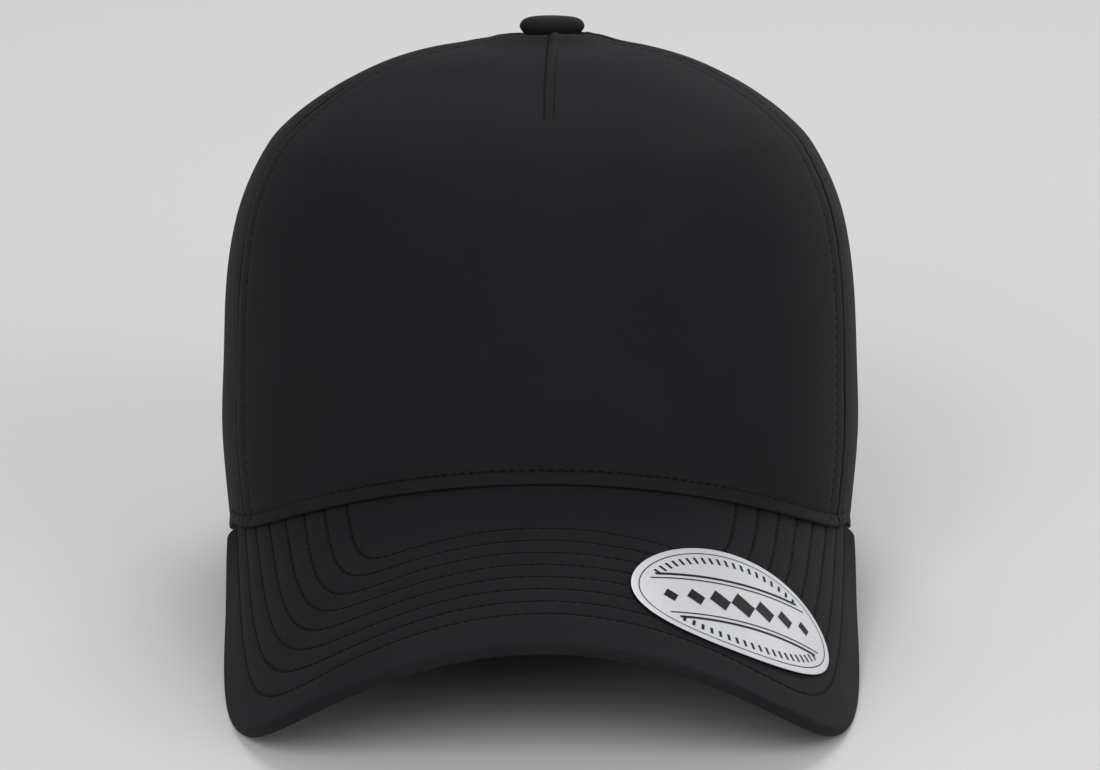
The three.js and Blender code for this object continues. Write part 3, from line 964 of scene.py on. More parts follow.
@dataclass
class RunMaker:
    """Lays one shape again and again along paths, by a node tree built here."""

    shape: Repeat = Repeat.THREAD
    pitch: float = 2.5
    length: float = 1.75
    width: float = 0.5
    height: float = 0.42
    sides: int = 8
    rings: int = 5

    def tree(self, material: bpy.types.Material) -> tuple[bpy.types.NodeTree, dict[str, str]]:
        """Build the node tree.

        Args:
            material: Finish of the repeated shape.

        Returns:
            The tree and the identifiers of its named inputs.
        """
        tree = bpy.data.node_groups.new("repeat_" + self.shape.value, "GeometryNodeTree")
        face = tree.interface
        face.new_socket("Geometry", in_out="OUTPUT", socket_type="NodeSocketGeometry")
        face.new_socket("Geometry", in_out="INPUT", socket_type="NodeSocketGeometry")
        names = {}
        for title in RUN_SIZES:
            socket = face.new_socket(title, in_out="INPUT", socket_type="NodeSocketFloat")
            names[title] = socket.identifier
        entry = add_node(tree, "NodeGroupInput").outputs
        path = add_node(tree, "GeometryNodeMeshToCurve", None, {"Mesh": entry["Geometry"]})
        inputs = {"Curve": path.outputs["Curve"], "Length": entry["Pitch"]}
        even = add_node(tree, "GeometryNodeResampleCurve", {"mode": "LENGTH"}, inputs)
        settings = {"data_type": "FLOAT_VECTOR"}
        way_out = add_node(tree, "GeometryNodeInputNamedAttribute", settings, {"Name": "out"})
        tangent = add_node(tree, "GeometryNodeInputTangent")
        settings = {"primary_axis": "Z", "secondary_axis": "X"}
        inputs = {0: way_out.outputs["Attribute"], 1: tangent.outputs["Tangent"]}
        turn = add_node(tree, "FunctionNodeAxesToRotation", settings, inputs)
        inputs = {"X": entry["Length"], "Y": entry["Width"], "Z": entry["Height"]}
        size = add_node(tree, "ShaderNodeCombineXYZ", None, inputs)
        inputs = {
            "Points": even.outputs["Curve"],
            "Instance": self.shape_node(tree).outputs["Mesh"],
            "Rotation": turn.outputs["Rotation"],
            "Scale": size.outputs["Vector"],
        }
        laid = add_node(tree, "GeometryNodeInstanceOnPoints", None, inputs)
        inputs = {"Geometry": laid.outputs["Instances"]}
        real = add_node(tree, "GeometryNodeRealizeInstances", None, inputs)
        inputs = {
            "Geometry": real.outputs["Geometry"],
            "Shade Smooth": self.shape is not Repeat.TICK,
        }
        smooth = add_node(tree, "GeometryNodeSetShadeSmooth", None, inputs)
        inputs = {"Geometry": smooth.outputs["Geometry"], "Material": material}
        dressed = add_node(tree, "GeometryNodeSetMaterial", None, inputs)
        add_node(tree, "NodeGroupOutput", None, {0: dressed.outputs["Geometry"]})
        return tree, names

    def shape_node(self, tree: bpy.types.NodeTree) -> bpy.types.Node:
        """Add the node that makes the repeated shape, 1 across."""
        if self.shape is Repeat.TICK:
            return add_node(tree, "GeometryNodeMeshCube", None, {"Size": (1.0, 1.0, 1.0)})
        inputs = {"Segments": self.sides, "Rings": self.rings, "Radius": 0.5}
        return add_node(tree, "GeometryNodeMeshUVSphere", None, inputs)

    def mesh(
        self, name: str, runs: list[Run], row: RowFrame, material: bpy.types.Material
    ) -> bpy.types.Mesh:
        """Lay the shape along runs.

        Args:
            name: Name of the mesh.
            runs: Paths in the cap's frame.
            row: Takes them to the row's frame.
            material: Finish of the shape.

        Returns:
            A plain mesh in the row's frame.
        """
        points: list[Array] = []
        out: list[Array] = []
        edges: list[tuple[int, int]] = []
        count = 0
        for run in runs:
            points.append(row.place(run.points))
            out.append(row.turn(run.out))
            edges += [(count + i, count + i + 1) for i in range(len(run.points) - 1)]
            count += len(run.points)
        base = bpy.data.meshes.new(name + "_path")
        base.from_pydata(np.concatenate(points).tolist(), edges, [])
        layer = base.attributes.new("out", "FLOAT_VECTOR", "POINT")
        layer.data.foreach_set("vector", np.concatenate(out).astype(np.float32).ravel())
        holder = bpy.data.objects.new(name + "_path", base)
        bpy.context.scene.collection.objects.link(holder)
        tree, names = self.tree(material)
        modifier = holder.modifiers.new("repeat", "NODES")
        modifier.node_group = tree
        for title in RUN_SIZES:
            modifier[names[title]] = getattr(self, title.lower()) * MM
        graph = bpy.context.evaluated_depsgraph_get()
        mesh = bpy.data.meshes.new_from_object(holder.evaluated_get(graph), depsgraph=graph)
        holder.modifiers.remove(modifier)
        bpy.data.objects.remove(holder)
        mesh.name = name
        return mesh


# Sub-assemblies


@dataclass
class Panel:
    """One sewn panel between two seams, on the left (-1), the right (1) or both sides (0)."""

    name: str
    side: int
    first: str
    last: str
    first_row: float
    last_row: float
    seed: int


@dataclass
class Crown:
    """The five sewn panels of the crown, their topstitching and the dart of the front one."""

    form: CapForm
    row: RowFrame
    finishes: Finishes
    edge_reach: float = 0.55
    hem_reach: float = 0.75
    hem_row: float = 3.4
    hem_drop: float = 0.5  # how far the front's lower edge comes down over the visor
    hem_ahead: tuple[float, float] = (0.24, 0.5)  # cosines between which the visor starts
    hem_behind: float = 0.25  # share of the flare that stays behind the visor
    seam_trim: float = -0.03  # the panels are sewn, so their edges meet in the seam
    seam_lip: float = 0.16
    lip_place: float = 2.4
    lip_width: float = 1.8
    flare: float = 1.4
    unevenness: float = 0.22
    dart_angle: float = 0.55 * DEGREE
    dart_lean: float = 0.6 * DEGREE
    dart_end: float = 0.655
    dart_top: float = 0.87  # share of the way up at which its stitches stop
    dart_row: float = 2.5
    dart_crease: float = 0.55
    dart_fold: tuple[float, float] = (0.12, 0.8)  # closed, and how much more where it opens
    dart_dip: float = 0.875  # share of the other rows' dip
    dart_sunk: float = 0.16
    dart_pit: float = 0.5
    dart_pull: float = 0.14
    dart_rate: float = 190.0  # millimetres up the front for all of the way up
    dart_early: float = 0.004  # share of the way up at which its map starts below its end
    most_row: float = 0.42  # share of a panel's width that a stitched row keeps within
    row_dip: float = 0.08
    hem_dip: float = 0.14
    gather_height: float = 0.07
    gather_length: float = 7.5
    pull_height: float = 0.06
    pull_length: float = 8.0
    foot_share: float = 0.71  # of the way up for each share of the height, at the foot
    stitch_sink: float = 0.1
    ridge_height: float = 1.15
    ridge_start: tuple[float, float] = (8.9, 11.0)
    ridge_side: float = 0.1
    ridge_ahead: float = 0.75
    ridge_radius: float = 11.5
    ridge_width: float = 6.5

    def panels(self) -> list[Panel]:
        """Return the five panels, with the distance of each stitched row from its seam."""
        return [
            Panel("front_panel", 0, "front", "front", 6.0, 6.0, 3),
            Panel("side_panel_left", -1, "front", "rear", 4.0, 5.0, 5),
            Panel("side_panel_right", 1, "front", "rear", 4.0, 5.0, 7),
            Panel("back_panel_left", -1, "rear", "back", 5.0, 4.0, 11),
            Panel("back_panel_right", 1, "rear", "back", 5.0, 4.0, 13),
        ]

    def seam_angle(self, panel: Panel, end: bool, along: Array) -> Array:
        """Return the angle of a panel's first or last edge."""
        if panel.side == 0:
            return self.form.seam("front", along) * (1 if end else -1)
        return self.form.seam(panel.last if end else panel.first, along) * panel.side

    def columns(self, panel: Panel) -> tuple[Array, Array, Array]:
        """Space a panel's columns, close together near its seams and its dart.

        Args:
            panel: The panel.

        Returns:
            The share of the width at the lower edge, the share at the top, and the height of
            the lower edge above the rim.
        """
        near = [(0.0, 0.0035, 4), (0.0035, 0.045, 12)]
        far = [(0.955, 0.9965, 12), (0.9965, 1.0, 4)]
        if panel.side == 0:
            middle = [(0.045, 0.475, 46), (0.475, 0.54, 66), (0.54, 0.955, 44)]
        elif panel.last == "rear":
            near = [(0.0, 0.008, 4), (0.008, 0.1, 12)]
            far = [(0.9, 0.992, 12), (0.992, 1.0, 4)]
            middle = [(0.1, 0.9, 44)]
        else:
            return self.back_columns(panel)
        parts = spaced([*near, *middle, *far])
        return parts, parts, np.full_like(parts, np.nan)

    def back_columns(self, panel: Panel) -> tuple[Array, Array, Array]:
        """Space a back panel's columns: plain as far as the arch, then along its curve."""
        form = self.form
        start = form.rear_seam * DEGREE
        arch_start = float(form.back_angle(form.arch_half_width))
        plain = arch_start - start
        marks = [(0, 0.6 / form.back_reach, 4), (0.6 / form.back_reach, 8 / form.back_reach, 14)]
        angles = start + spaced([*marks, (8 / form.back_reach, plain, 26)])[:-1]
        turn = spaced([(0, 0.12, 8), (0.12, 1.44, 62), (1.44, math.pi / 2, 14)])
        power = 2 / form.arch_squareness
        arch = form.back_angle(form.arch_half_width * np.abs(np.cos(turn)) ** power)
        heights = form.arch_height * np.sin(turn) ** power
        angles = np.concatenate([angles, arch])
        heights = np.concatenate([np.zeros(len(angles) - len(arch)), heights])
        low = (angles - start) / (math.pi - start)
        count = np.arange(len(low)) / (len(low) - 1)
        return low, 0.5 * low + 0.5 * count, heights

    def grid(self, panel: Panel) -> dict[str, Array]:
        """Lay out a panel's grid on the crown's smooth face.

        Args:
            panel: The panel.

        Returns:
            Angle, way up, face points, normals, and distances from the seams and lower edge.
        """
        form = self.form
        low_part, even, heights = self.columns(panel)
        zero = np.zeros_like(low_part)
        first, last = (self.seam_angle(panel, end, zero) for end in (False, True))
        low_angle = first + (last - first) * low_part
        if panel.last == "back":
            lowest = form.at_height(heights)
        else:
            drop = self.hem_drop * self.ahead(low_angle) / form.height * self.foot_share
            lowest = form.rim_along(low_angle) - drop
        one = np.ones_like(low_part)
        first_top, last_top = (self.seam_angle(panel, end, one) for end in (False, True))
        top = form.top_along(first_top + (last_top - first_top) * even)
        rows = spaced([(0, 0.0065, 5), (0.0065, 0.045, 12), (0.045, 0.6, 46), (0.6, 1.0, 52)])
        share = rows[None, :]
        along = lowest[:, None] + (top - lowest)[:, None] * share
        blend = smooth_step(share, 0, 0.5)
        part = low_part[:, None] * (1 - blend) + even[:, None] * blend
        start, end = (self.seam_angle(panel, last_edge, along) for last_edge in (False, True))
        angle = start + (end - start) * part
        width = np.abs(end - start) * form.radius(angle, along)
        trim = self.seam_trim
        inner_part = trim / width + part * (1 - 2 * trim / width)
        angle = start + (end - start) * inner_part
        points = form.crown(angle, along)
        rim = points[:, 0]
        steps = np.linspace(0, 1, 6)[:-1, None, None]
        path = (rim[None, :-1] * (1 - steps) + rim[None, 1:] * steps).reshape(-1, 3)
        return {
            "angle": angle,
            "along": along,
            "points": points,
            "normals": form.crown_normal(angle, along),
            "width": width,
            "first": part * width,
            "last": (1 - part) * width,
            "low": distance_to(points, path),
            "up": running(points, 1),
            "across": part * width - width / 2,
        }

    def stitch_rows(self, panel: Panel, grid: dict[str, Array]) -> Array:
        """Return the row number of each point: 0 on a seam and 1 on its stitched row."""
        first = np.minimum(panel.first_row, self.most_row * grid["width"])
        last = np.minimum(panel.last_row, self.most_row * grid["width"])
        return np.minimum(np.minimum(grid["first"] / first, grid["last"] / last), 1.45)

    def soften(self, rows: Array, least: float) -> Array:
        """Keep the channel of row 1 shallow, by keeping its number a little off 1.

        Args:
            rows: Row number of each point, 0 on the seam or edge and 1 on the stitched row.
            least: How far off 1 it stays.

        Returns:
            The row numbers, folded back past row 1.
        """
        return np.where(rows < 0.5, rows, 1 - np.hypot(rows - 1, least))

    def relief(self, panel: Panel, grid: dict[str, Array]) -> Array:
        """Return how far the cloth stands out of the smooth face.

        Args:
            panel: The panel.
            grid: Its grid.

        Returns:
            Height in millimetres at each point.
        """
        near = np.minimum(grid["first"], grid["last"])
        rise = self.seam_lip * hump(near - self.lip_place, self.lip_width)
        rows = self.stitch_rows(panel, grid)
        across, up = grid["across"], grid["up"]
        rise -= self.row_dip * hump((rows - 1) * 5, 0.8)
        rise += self.flared(grid)
        rise -= self.hem_dip * hump(grid["low"] - self.hem_row, 0.9)
        rise += self.unevenness * waves(across, up, panel.seed, 60)
        gather = np.sin(2 * math.pi * up / self.gather_length + 2 * waves(near, up, 5, 40))
        rise += self.gather_height * gather * hump(near - 3, 4)
        pull = np.sin(2 * math.pi * across / self.pull_length + 2 * waves(across, near, 9, 50))
        rise += self.pull_height * pull * hump(grid["low"] - 3, 4)
        if panel.side == 0:
            rise += self.dart(grid)
        return rise + self.ridge(grid)

    def ahead(self, angle: Array) -> Array:
        """Return 1 over the visor, and 0 from the ends of its seam to the back."""
        return smooth_step(np.cos(angle), *self.hem_ahead)

    def flared(self, grid: dict[str, Array]) -> Array:
        """Return how far the folded hem stands out, most of all over the visor."""
        share = self.hem_behind + (1 - self.hem_behind) * self.ahead(grid["angle"])
        flare = self.flare * share
        return flare * smooth_step(self.hem_row - grid["low"], -0.4, 3.0)

    def ridge(self, grid: dict[str, Array]) -> Array:
        """Return the relief of the cloth that is gathered up round the button."""
        radius = self.form.radius(grid["angle"], grid["along"])
        ahead = np.maximum(np.cos(grid["angle"]), 0) ** 2
        higher = 1 + self.ridge_side * np.sin(grid["angle"]) + self.ridge_ahead * ahead
        clear = smooth_step(radius, *self.ridge_start)
        shape = clear * hump(np.maximum(radius - self.ridge_radius, 0), self.ridge_width)
        return self.ridge_height * higher * shape

    def dart_line(self, along: Array) -> Array:
        """Return the angle of the dart's crease, which leans over on the way up."""
        return self.dart_angle + self.dart_lean * smooth_step(along, self.dart_end, 0.95)

    def dart_across(self, grid: dict[str, Array]) -> Array:
        """Return the distance of each point from the dart's crease, to the right of it."""
        radius = self.form.radius(grid["angle"], grid["along"])
        return (grid["angle"] - self.dart_line(grid["along"])) * radius

    def dart(self, grid: dict[str, Array]) -> Array:
        """Return the relief of the dart that runs down the front from the button."""
        across = self.dart_across(grid)
        along = grid["along"]
        here = smooth_step(along, self.dart_end, self.dart_end + 0.03)
        opens = smooth_step(along, 0.72, 0.9)
        opens = opens * (1 - 0.6 * smooth_step(along, 0.9, 0.95))
        past = (along - self.dart_end) * self.dart_rate
        closed, more = self.dart_fold
        crease = -self.dart_crease * hump(across, 0.26) * (0.7 + 0.3 * opens)
        fold = (closed + more * opens) * hump(across - 1.5, 1.2)
        sewn = -self.row_dip * self.dart_dip * hump(across - self.dart_row, 0.4)
        sunk = -self.dart_sunk * hump(across + 2.5, 2.8)
        pit = -self.dart_pit * hump(across, 0.55) * hump(past - 0.76, 1.1)
        pull = self.dart_pull * hump(across, 7) * hump(past, 9)
        return here * (crease + fold + sewn + sunk) + pit - pull

    def dart_map(self, grid: dict[str, Array], hem: Array) -> Array:
        """Return the hem map with the dart's crease and its stitched row at 0."""
        across = self.dart_across(grid)
        row = np.hypot(across - self.dart_row, 0.12)
        count = np.minimum(np.minimum(np.abs(across), row) / self.dart_row, 0.5)
        return np.where(grid["along"] > self.dart_end - self.dart_early, count, hem)

    def build(self) -> None:
        """Build and dress the five panels and their stitches."""
        runs: list[Run] = []
        faces: list[Array] = []
        for panel in self.panels():
            faces.append(self.build_panel(panel, self.grid(panel)))
            runs += self.seam_runs(panel)
            runs += self.hem_run(panel)
        runs += self.dart_run() + self.arch_runs()
        cloth = ClothFace(faces)
        runs = [cloth.lay(run, self.stitch_sink) for run in runs]
        thread = RunMaker()
        mesh = thread.mesh("crown_stitching", runs, self.row, self.finishes.thread)
        finished("crown_stitching", mesh, self.finishes.thread, Slot.TWILL)

    def build_panel(self, panel: Panel, grid: dict[str, Array]) -> Array:
        """Build one panel as a closed wall of cloth, and return its outer face."""
        form = self.form
        side = np.minimum(grid["first"], grid["last"])
        top = grid["up"][:, -1:] - grid["up"]
        half = form.panel / 2
        seam_drop = edge_drop(side, self.edge_reach, half)
        end_drop = edge_drop(np.minimum(grid["up"], top), self.hem_reach, half)
        drop = np.maximum(seam_drop, end_drop)
        over = self.flared(grid) * self.ahead(grid["angle"])
        relief = (self.relief(panel, grid) - over) * (1 - drop / half) + over
        normals = grid["normals"]
        outer = self.row.press(grid["points"] + normals * (relief - drop)[..., None])
        inner = self.row.press(grid["points"] + normals * (over - form.panel + drop)[..., None])
        rows = self.soften(self.stitch_rows(panel, grid), 0.055)
        hem = self.soften(np.minimum(grid["low"] / self.hem_row, 1.45), 0.02)
        if panel.side == 0:
            hem = self.dart_map(grid, hem)
        weave = (grid["across"], grid["up"])
        maps = {
            "weave": map_pair(weave, weave),
            "rows": map_pair((rows, grid["up"]), (np.full_like(rows, 0.5), grid["up"])),
            "hem": map_pair((hem, grid["across"]), (np.full_like(hem, 0.5), grid["up"])),
        }
        place = self.row.place
        mesh = shell_mesh(panel.name + "_cloth", place(outer), place(inner), maps)
        finished(panel.name + "_cloth", mesh, self.finishes.cloth, Slot.TWILL, panel.name)
        return outer

    def run_on_crown(self, angle: Array, along: Array) -> Run:
        """Return a run on the crown's smooth face."""
        return Run(self.form.crown(angle, along), self.form.crown_normal(angle, along))

    def seam_runs(self, panel: Panel) -> list[Run]:
        """Return the stitched rows beside a panel's two seams."""
        runs = []
        form = self.form
        for end, distance in ((False, panel.first_row), (True, panel.last_row)):
            low_angle = self.seam_angle(panel, end, np.zeros(1))
            low = float(form.rim_along(low_angle)[0]) if panel.first == "front" else 0.0
            if panel.last == "back" and end:
                low = float(form.at_height(np.array([form.arch_height + 1.0]))[0])
            along = np.linspace(low + 0.006, 0.965, 260)
            seam = self.seam_angle(panel, end, along)
            other = self.seam_angle(panel, not end, along)
            radius = form.radius(seam, along)
            width = np.abs(other - seam) * radius
            inward = np.sign(other - seam) * np.minimum(distance, self.most_row * width) / radius
            runs.append(self.run_on_crown(seam + inward, along))
        return runs

    def hem_run(self, panel: Panel) -> list[Run]:
        """Return the stitched row above a front or side panel's lower edge."""
        form = self.form
        zero = np.zeros(1)
        first = float(self.seam_angle(panel, False, zero)[0])
        last = float(self.seam_angle(panel, True, zero)[0])
        if panel.last == "back":
            last = panel.side * float(form.back_angle(form.arch_half_width + self.hem_row))
        angle = np.linspace(first, last, 200)
        rim = form.rim_along(angle)
        step = 0.01
        climb = np.linalg.norm(form.crown(angle, rim + step) - form.crown(angle, rim), axis=-1)
        return [self.run_on_crown(angle, rim + self.hem_row * step / climb)]

    def dart_run(self) -> list[Run]:
        """Return the stitched row beside the dart."""
        along = np.linspace(self.dart_end + 0.01, self.dart_top, 120)
        line = self.dart_line(along)
        radius = self.form.radius(line, along)
        return [self.run_on_crown(line + self.dart_row / radius, along)]

    def arch_runs(self) -> list[Run]:
        """Return the stitched row round the arch at the back."""
        form = self.form
        turn = np.linspace(0.09, math.pi - 0.09, 240)
        power = 2 / form.arch_squareness
        cos, sin = np.cos(turn), np.sin(turn)
        across = (form.arch_half_width + self.hem_row) * np.sign(cos) * np.abs(cos) ** power
        height = (form.arch_height + self.hem_row) * sin**power
        angle = math.pi - across / form.back_reach
        return [self.run_on_crown(angle, form.at_height(height))]


@dataclass
class Visor:
    """The stitched visor: two layers of cloth over a bent board, with eight rows of stitches."""

    form: CapForm
    row: RowFrame
    finishes: Finishes
    rows: int = 8
    first_span: float = 53.8
    span_step: float = 7.2
    span_easing: float = -0.16
    first_reach: float = 19.2
    reach_step: float = 5.38
    powers: tuple[float, ...] = (12.0, 9.7, 8.9, 7.7, 7.5, 7.3, 7.1, 7.5)
    row_taper: float = 0.2  # of the span, for each 100 mm forward
    last_taper: float = 0.15
    taper_start: float = -20.0
    row_sag: float = 1.5  # how far the middle of the last row stays back
    sag_width: float = 30.0
    edge_round: float = 1.4
    column_count: int = 260
    row_count: int = 96
    puff: float = 0.16
    unevenness: float = 0.07
    end_start: float = 0.82  # share of the seam at which its ends begin
    end_spread: float = 0.9
    end_lift: float = 0.8
    run_radius: float = 120.0  # millimetres along a row for each radian round the crown
    late_rows: tuple[float, float] = (5.5, 8.0)
    levels: tuple[float, float] = (-1.5, 14.0)
    widest: float = 0.7  # share of the thickness at which the rolled edge is widest
    stitch_sink: float = 0.06

    def family(self, level: Array | float) -> tuple[Any, Any, Any]:
        """Return the half span, the reach and the squareness of a row of stitches."""
        count = level - 1
        power = np.interp(count, np.arange(self.rows), self.powers)
        span = self.first_span + self.span_step * count + self.span_easing * count**2
        return span, self.first_reach + self.reach_step * count, power

    def taper(self, forward: Array, level: Array | float) -> Array:
        """Return the share of its span that a row keeps at a distance forward."""
        late = smooth_step(level, *self.late_rows)
        slope = self.row_taper + (self.last_taper - self.row_taper) * late
        return 1 - slope * (forward - self.taper_start) / 100

    def sag(self, across: Array, level: Array | float) -> Array:
        """Return how far the middle of a row stays behind its squared oval."""
        late = np.maximum(level - 1, 0) / (self.rows - 1)
        return self.row_sag * late * hump(across, self.sag_width)

    def level(self, across: Array, forward: Array) -> Array:
        """Return the row number, whole on a row of stitches, at points of the board."""
        low, high = (np.full_like(across, level) for level in self.levels)
        back = self.form.visor_back_reach
        for _ in range(30):
            middle = (low + high) / 2
            span, reach, power = self.family(middle)
            straight = forward + self.sag(across, middle)
            side = (np.abs(across) / (span * self.taper(straight, middle))) ** power
            ahead = (np.maximum(straight + back, 0) / (reach + back)) ** power
            outside = side + ahead > 1
            low = np.where(outside, middle, low)
            high = np.where(outside, high, middle)
        return (low + high) / 2

    def grids(self) -> tuple[Array, Array, Array]:
        """Lay out the top and the underside, from the crown's wall to the rolled edge.

        Returns:
            Smooth points of the top and the underside, which meet along their borders,
            and how far each is moved to meet the crown's foot.
        """
        form = self.form
        part = np.linspace(-1, 1, self.column_count + 1)
        angle = part * form.visor_end
        inner = form.seam_along(angle, form.panel, 0.0)
        seam = form.inside(angle, inner, np.full_like(angle, form.panel))
        turn = part * form.end_turn()
        spread = np.zeros((len(part), 3))
        near_end = smooth_step(np.abs(part), self.end_start, 1.0)
        spread[:, 0] = self.end_spread * np.sign(part) * near_end
        spread[:, 2] = self.end_lift * near_end
        edge = form.outline(turn, self.edge_round)
        share = np.linspace(0, 1, self.row_count + 1)[None, :, None]
        top = seam[:, None] * (1 - share) + edge[:, None] * share
        top[..., 2] = form.visor_height(top[..., 0], top[..., 1])
        normal = form.visor_normal(top[..., 0])
        thick = form.visor_thickness
        down = np.zeros_like(top)
        down[..., 2] = np.minimum(thick / normal[..., 2], thick * 1.5)
        under = top - (down * (1 - share) + normal * thick * share)
        turns = np.linspace(0, math.pi / 2, 7)[1:]
        rounds = []
        for face in (1, -1):
            strips = []
            for bend in turns:
                rim = form.outline(turn, self.edge_round * (1 - math.sin(bend)))
                side = self.widest if face > 0 else self.widest - 1
                depth = thick * (max(0, -face) + side * (1 - math.cos(bend)))
                strips.append(rim - form.visor_normal(rim[:, 0]) * depth)
            rounds.append(np.stack(strips, 1))
        top = np.concatenate([top, rounds[0]], 1)
        under = np.concatenate([under, rounds[1]], 1)
        shares = np.append(share[0, :, 0], np.ones(len(turns)))
        shift = spread[:, None] * smooth_step(shares, 0.5, 1.0)[None, :, None]
        return top, under, shift

    def build(self) -> None:
        """Build and dress the visor and its stitches."""
        form = self.form
        top, under, shift = self.grids()
        across, forward = form.visor_flat(top)
        level = self.level(across, forward)
        rows = np.clip(level, 0.6, self.rows + 0.45)
        near = np.abs(rows - np.round(rows))
        sewn = (level > 0.5) & (level < self.rows + 0.5)
        dip = self.puff * (0.5 + 0.5 * np.cos(2 * math.pi * near)) * sewn
        rough = self.unevenness * waves(across, forward, 21, 26)
        inner_rows = np.arange(top.shape[1]) <= self.row_count
        depth = (dip - rough) * inner_rows[None, :]
        depth[0] = depth[-1] = 0
        depth[:, 0] = 0
        normal = form.visor_normal(top[..., 0])
        upper = top - normal * depth[..., None] + shift
        lower = under + normal * (dip * inner_rows[None, :])[..., None] + shift
        middle = (upper + lower) / 2
        upper[0], upper[-1], upper[:, 0] = middle[0], middle[-1], middle[:, 0]
        upper = self.row.press(upper)
        lower = self.row.press(lower)
        share_border(lower, upper)
        cloth = ClothFace([upper]), ClothFace([lower])
        weave = (across, forward)
        run = np.arctan2(across, forward + form.visor_back_reach) * self.run_radius
        maps = {
            "weave": map_pair(weave, weave),
            "rows": map_pair((rows, run), (rows, run)),
            "hem": map_pair((np.full_like(rows, 0.5), run), (np.full_like(rows, 0.5), run)),
        }
        mesh = shell_mesh("visor_cloth", self.row.place(upper), self.row.place(lower), maps)
        finished("visor_cloth", mesh, self.finishes.cloth, Slot.TWILL, "visor")
        thread = RunMaker()
        runs = [cloth[side].lay(run, self.stitch_sink) for side, run in self.runs()]
        mesh = thread.mesh("visor_stitching", runs, self.row, self.finishes.thread)
        finished("visor_stitching", mesh, self.finishes.thread, Slot.TWILL)

    def seam_line(self) -> tuple[Array, Array]:
        """Return the crown's foot on the visor, as plan distances across and back."""
        angle = np.linspace(-self.form.visor_end, self.form.visor_end, 241)
        foot = self.form.crown(angle, self.form.seam_along(angle, 0.0, 0.0))
        return foot[:, 0], foot[:, 1]

    def runs(self) -> list[tuple[int, Run]]:
        """Return the rows of stitches, each with 0 for the top or 1 for the underside."""
        runs = []
        seam_x, seam_y = self.seam_line()
        form = self.form
        for level in range(1, self.rows + 1):
            span, reach, power = self.family(level)
            angle = np.linspace(-math.pi / 2, math.pi / 2, 700)
            across, forward = form.outline_flat(angle, span, reach, power)
            across = across * self.taper(forward, level)
            points = form.visor(across, forward - self.sag(across, level))
            out = form.visor_normal(points[:, 0])
            ahead = points[:, 1] < np.interp(points[:, 0], seam_x, seam_y) - 0.5
            inside = np.abs(points[:, 0]) < seam_x[-1]
            kept = ahead & inside
            runs.append((0, Run(points[kept], out[kept])))
            lower = points - out * form.visor_thickness
            clear = lower[:, 2] > (lower[:, 1] - form.rim_touch) * self.row.slope + 0.35
            kept = kept & clear
            runs.append((1, Run(lower[kept], -out[kept])))
        return runs


@dataclass
class Button:
    """The covered button on top: cloth drawn over a metal blank and gathered under it."""

    form: CapForm
    row: RowFrame
    finishes: Finishes
    radius: float = 8.8
    height: float = 5.4
    folds: int = 14
    sides: int = 112
    steps: int = 44
    gather: float = 0.03
    unevenness: float = 0.04
    profile: tuple[tuple[float, float], ...] = (
        (0.0, 0.0),
        (0.72, 0.0),
        (0.8, 0.07),
        (0.86, 0.18),
        (0.94, 0.31),
        (1.0, 0.44),
        (0.995, 0.56),
        (0.96, 0.69),
        (0.89, 0.81),
        (0.79, 0.9),
        (0.65, 0.955),
        (0.45, 0.985),
        (0.25, 0.997),
        (0.0, 1.0),
    )

    def build(self) -> None:
        """Build and dress the button."""
        table = np.array(self.profile)
        length = np.concatenate(
            [[0], np.cumsum(np.hypot(*np.diff(table * [1, 0.6], axis=0).T))]
        )
        place = np.linspace(0, length[-1], self.steps)
        out = np.interp(place, length, table[:, 0])
        up = np.interp(place, length, table[:, 1])
        kernel = np.array([0.25, 0.5, 0.25])
        for _ in range(2):
            out[1:-1] = np.convolve(out, kernel, "valid")
            up[1:-1] = np.convolve(up, kernel, "valid")
        angle = np.linspace(0, 2 * math.pi, self.sides + 1)[:-1, None]
        fold = np.sin(angle * self.folds + 1.3 * np.sin(3 * angle))
        gathered = self.gather * (1 - smooth_step(up, 0.05, 0.45))
        radius = self.radius * out * (1 + gathered * fold * smooth_step(out, 0.2, 0.9))
        x, y = radius * np.cos(angle), radius * np.sin(angle)
        level = np.broadcast_to(self.height * up, radius.shape)
        height = np.where(up > 0.02, level + self.unevenness * waves(x, y, 4, 9), level)
        seat = np.array([self.form.lean, 0.0, self.form.height + self.form.gap])
        ring = np.stack([x, y, height], -1)
        points = (ring + seat)[:, 1:-1]
        count = points.shape[1]
        poles = np.array([seat, seat + [0, 0, self.height]])
        number = np.arange(self.sides * count).reshape(self.sides, count)
        after = np.roll(number, -1, axis=0)
        quads = [number[:, :-1], after[:, :-1], after[:, 1:], number[:, 1:]]
        faces = np.stack(quads, -1).reshape(-1, 4).tolist()
        base, top = self.sides * count, self.sides * count + 1
        for i in range(self.sides):
            faces.append([base, after[i, 0], number[i, 0]])
            faces.append([top, number[i, -1], after[i, -1]])
        cloud = np.concatenate([points.reshape(-1, 3), poles])
        mesh = mesh_of("button_cloth", self.row.place(cloud), faces)
        corner = np.array([cloud[i][:2] for face in faces for i in face]) - seat[:2]
        add_map(mesh, "weave", corner)
        plain = np.full_like(corner, 0.5)
        add_map(mesh, "rows", plain)
        add_map(mesh, "hem", plain)
        finished("button_cloth", mesh, self.finishes.cloth, Slot.TWILL, "button")


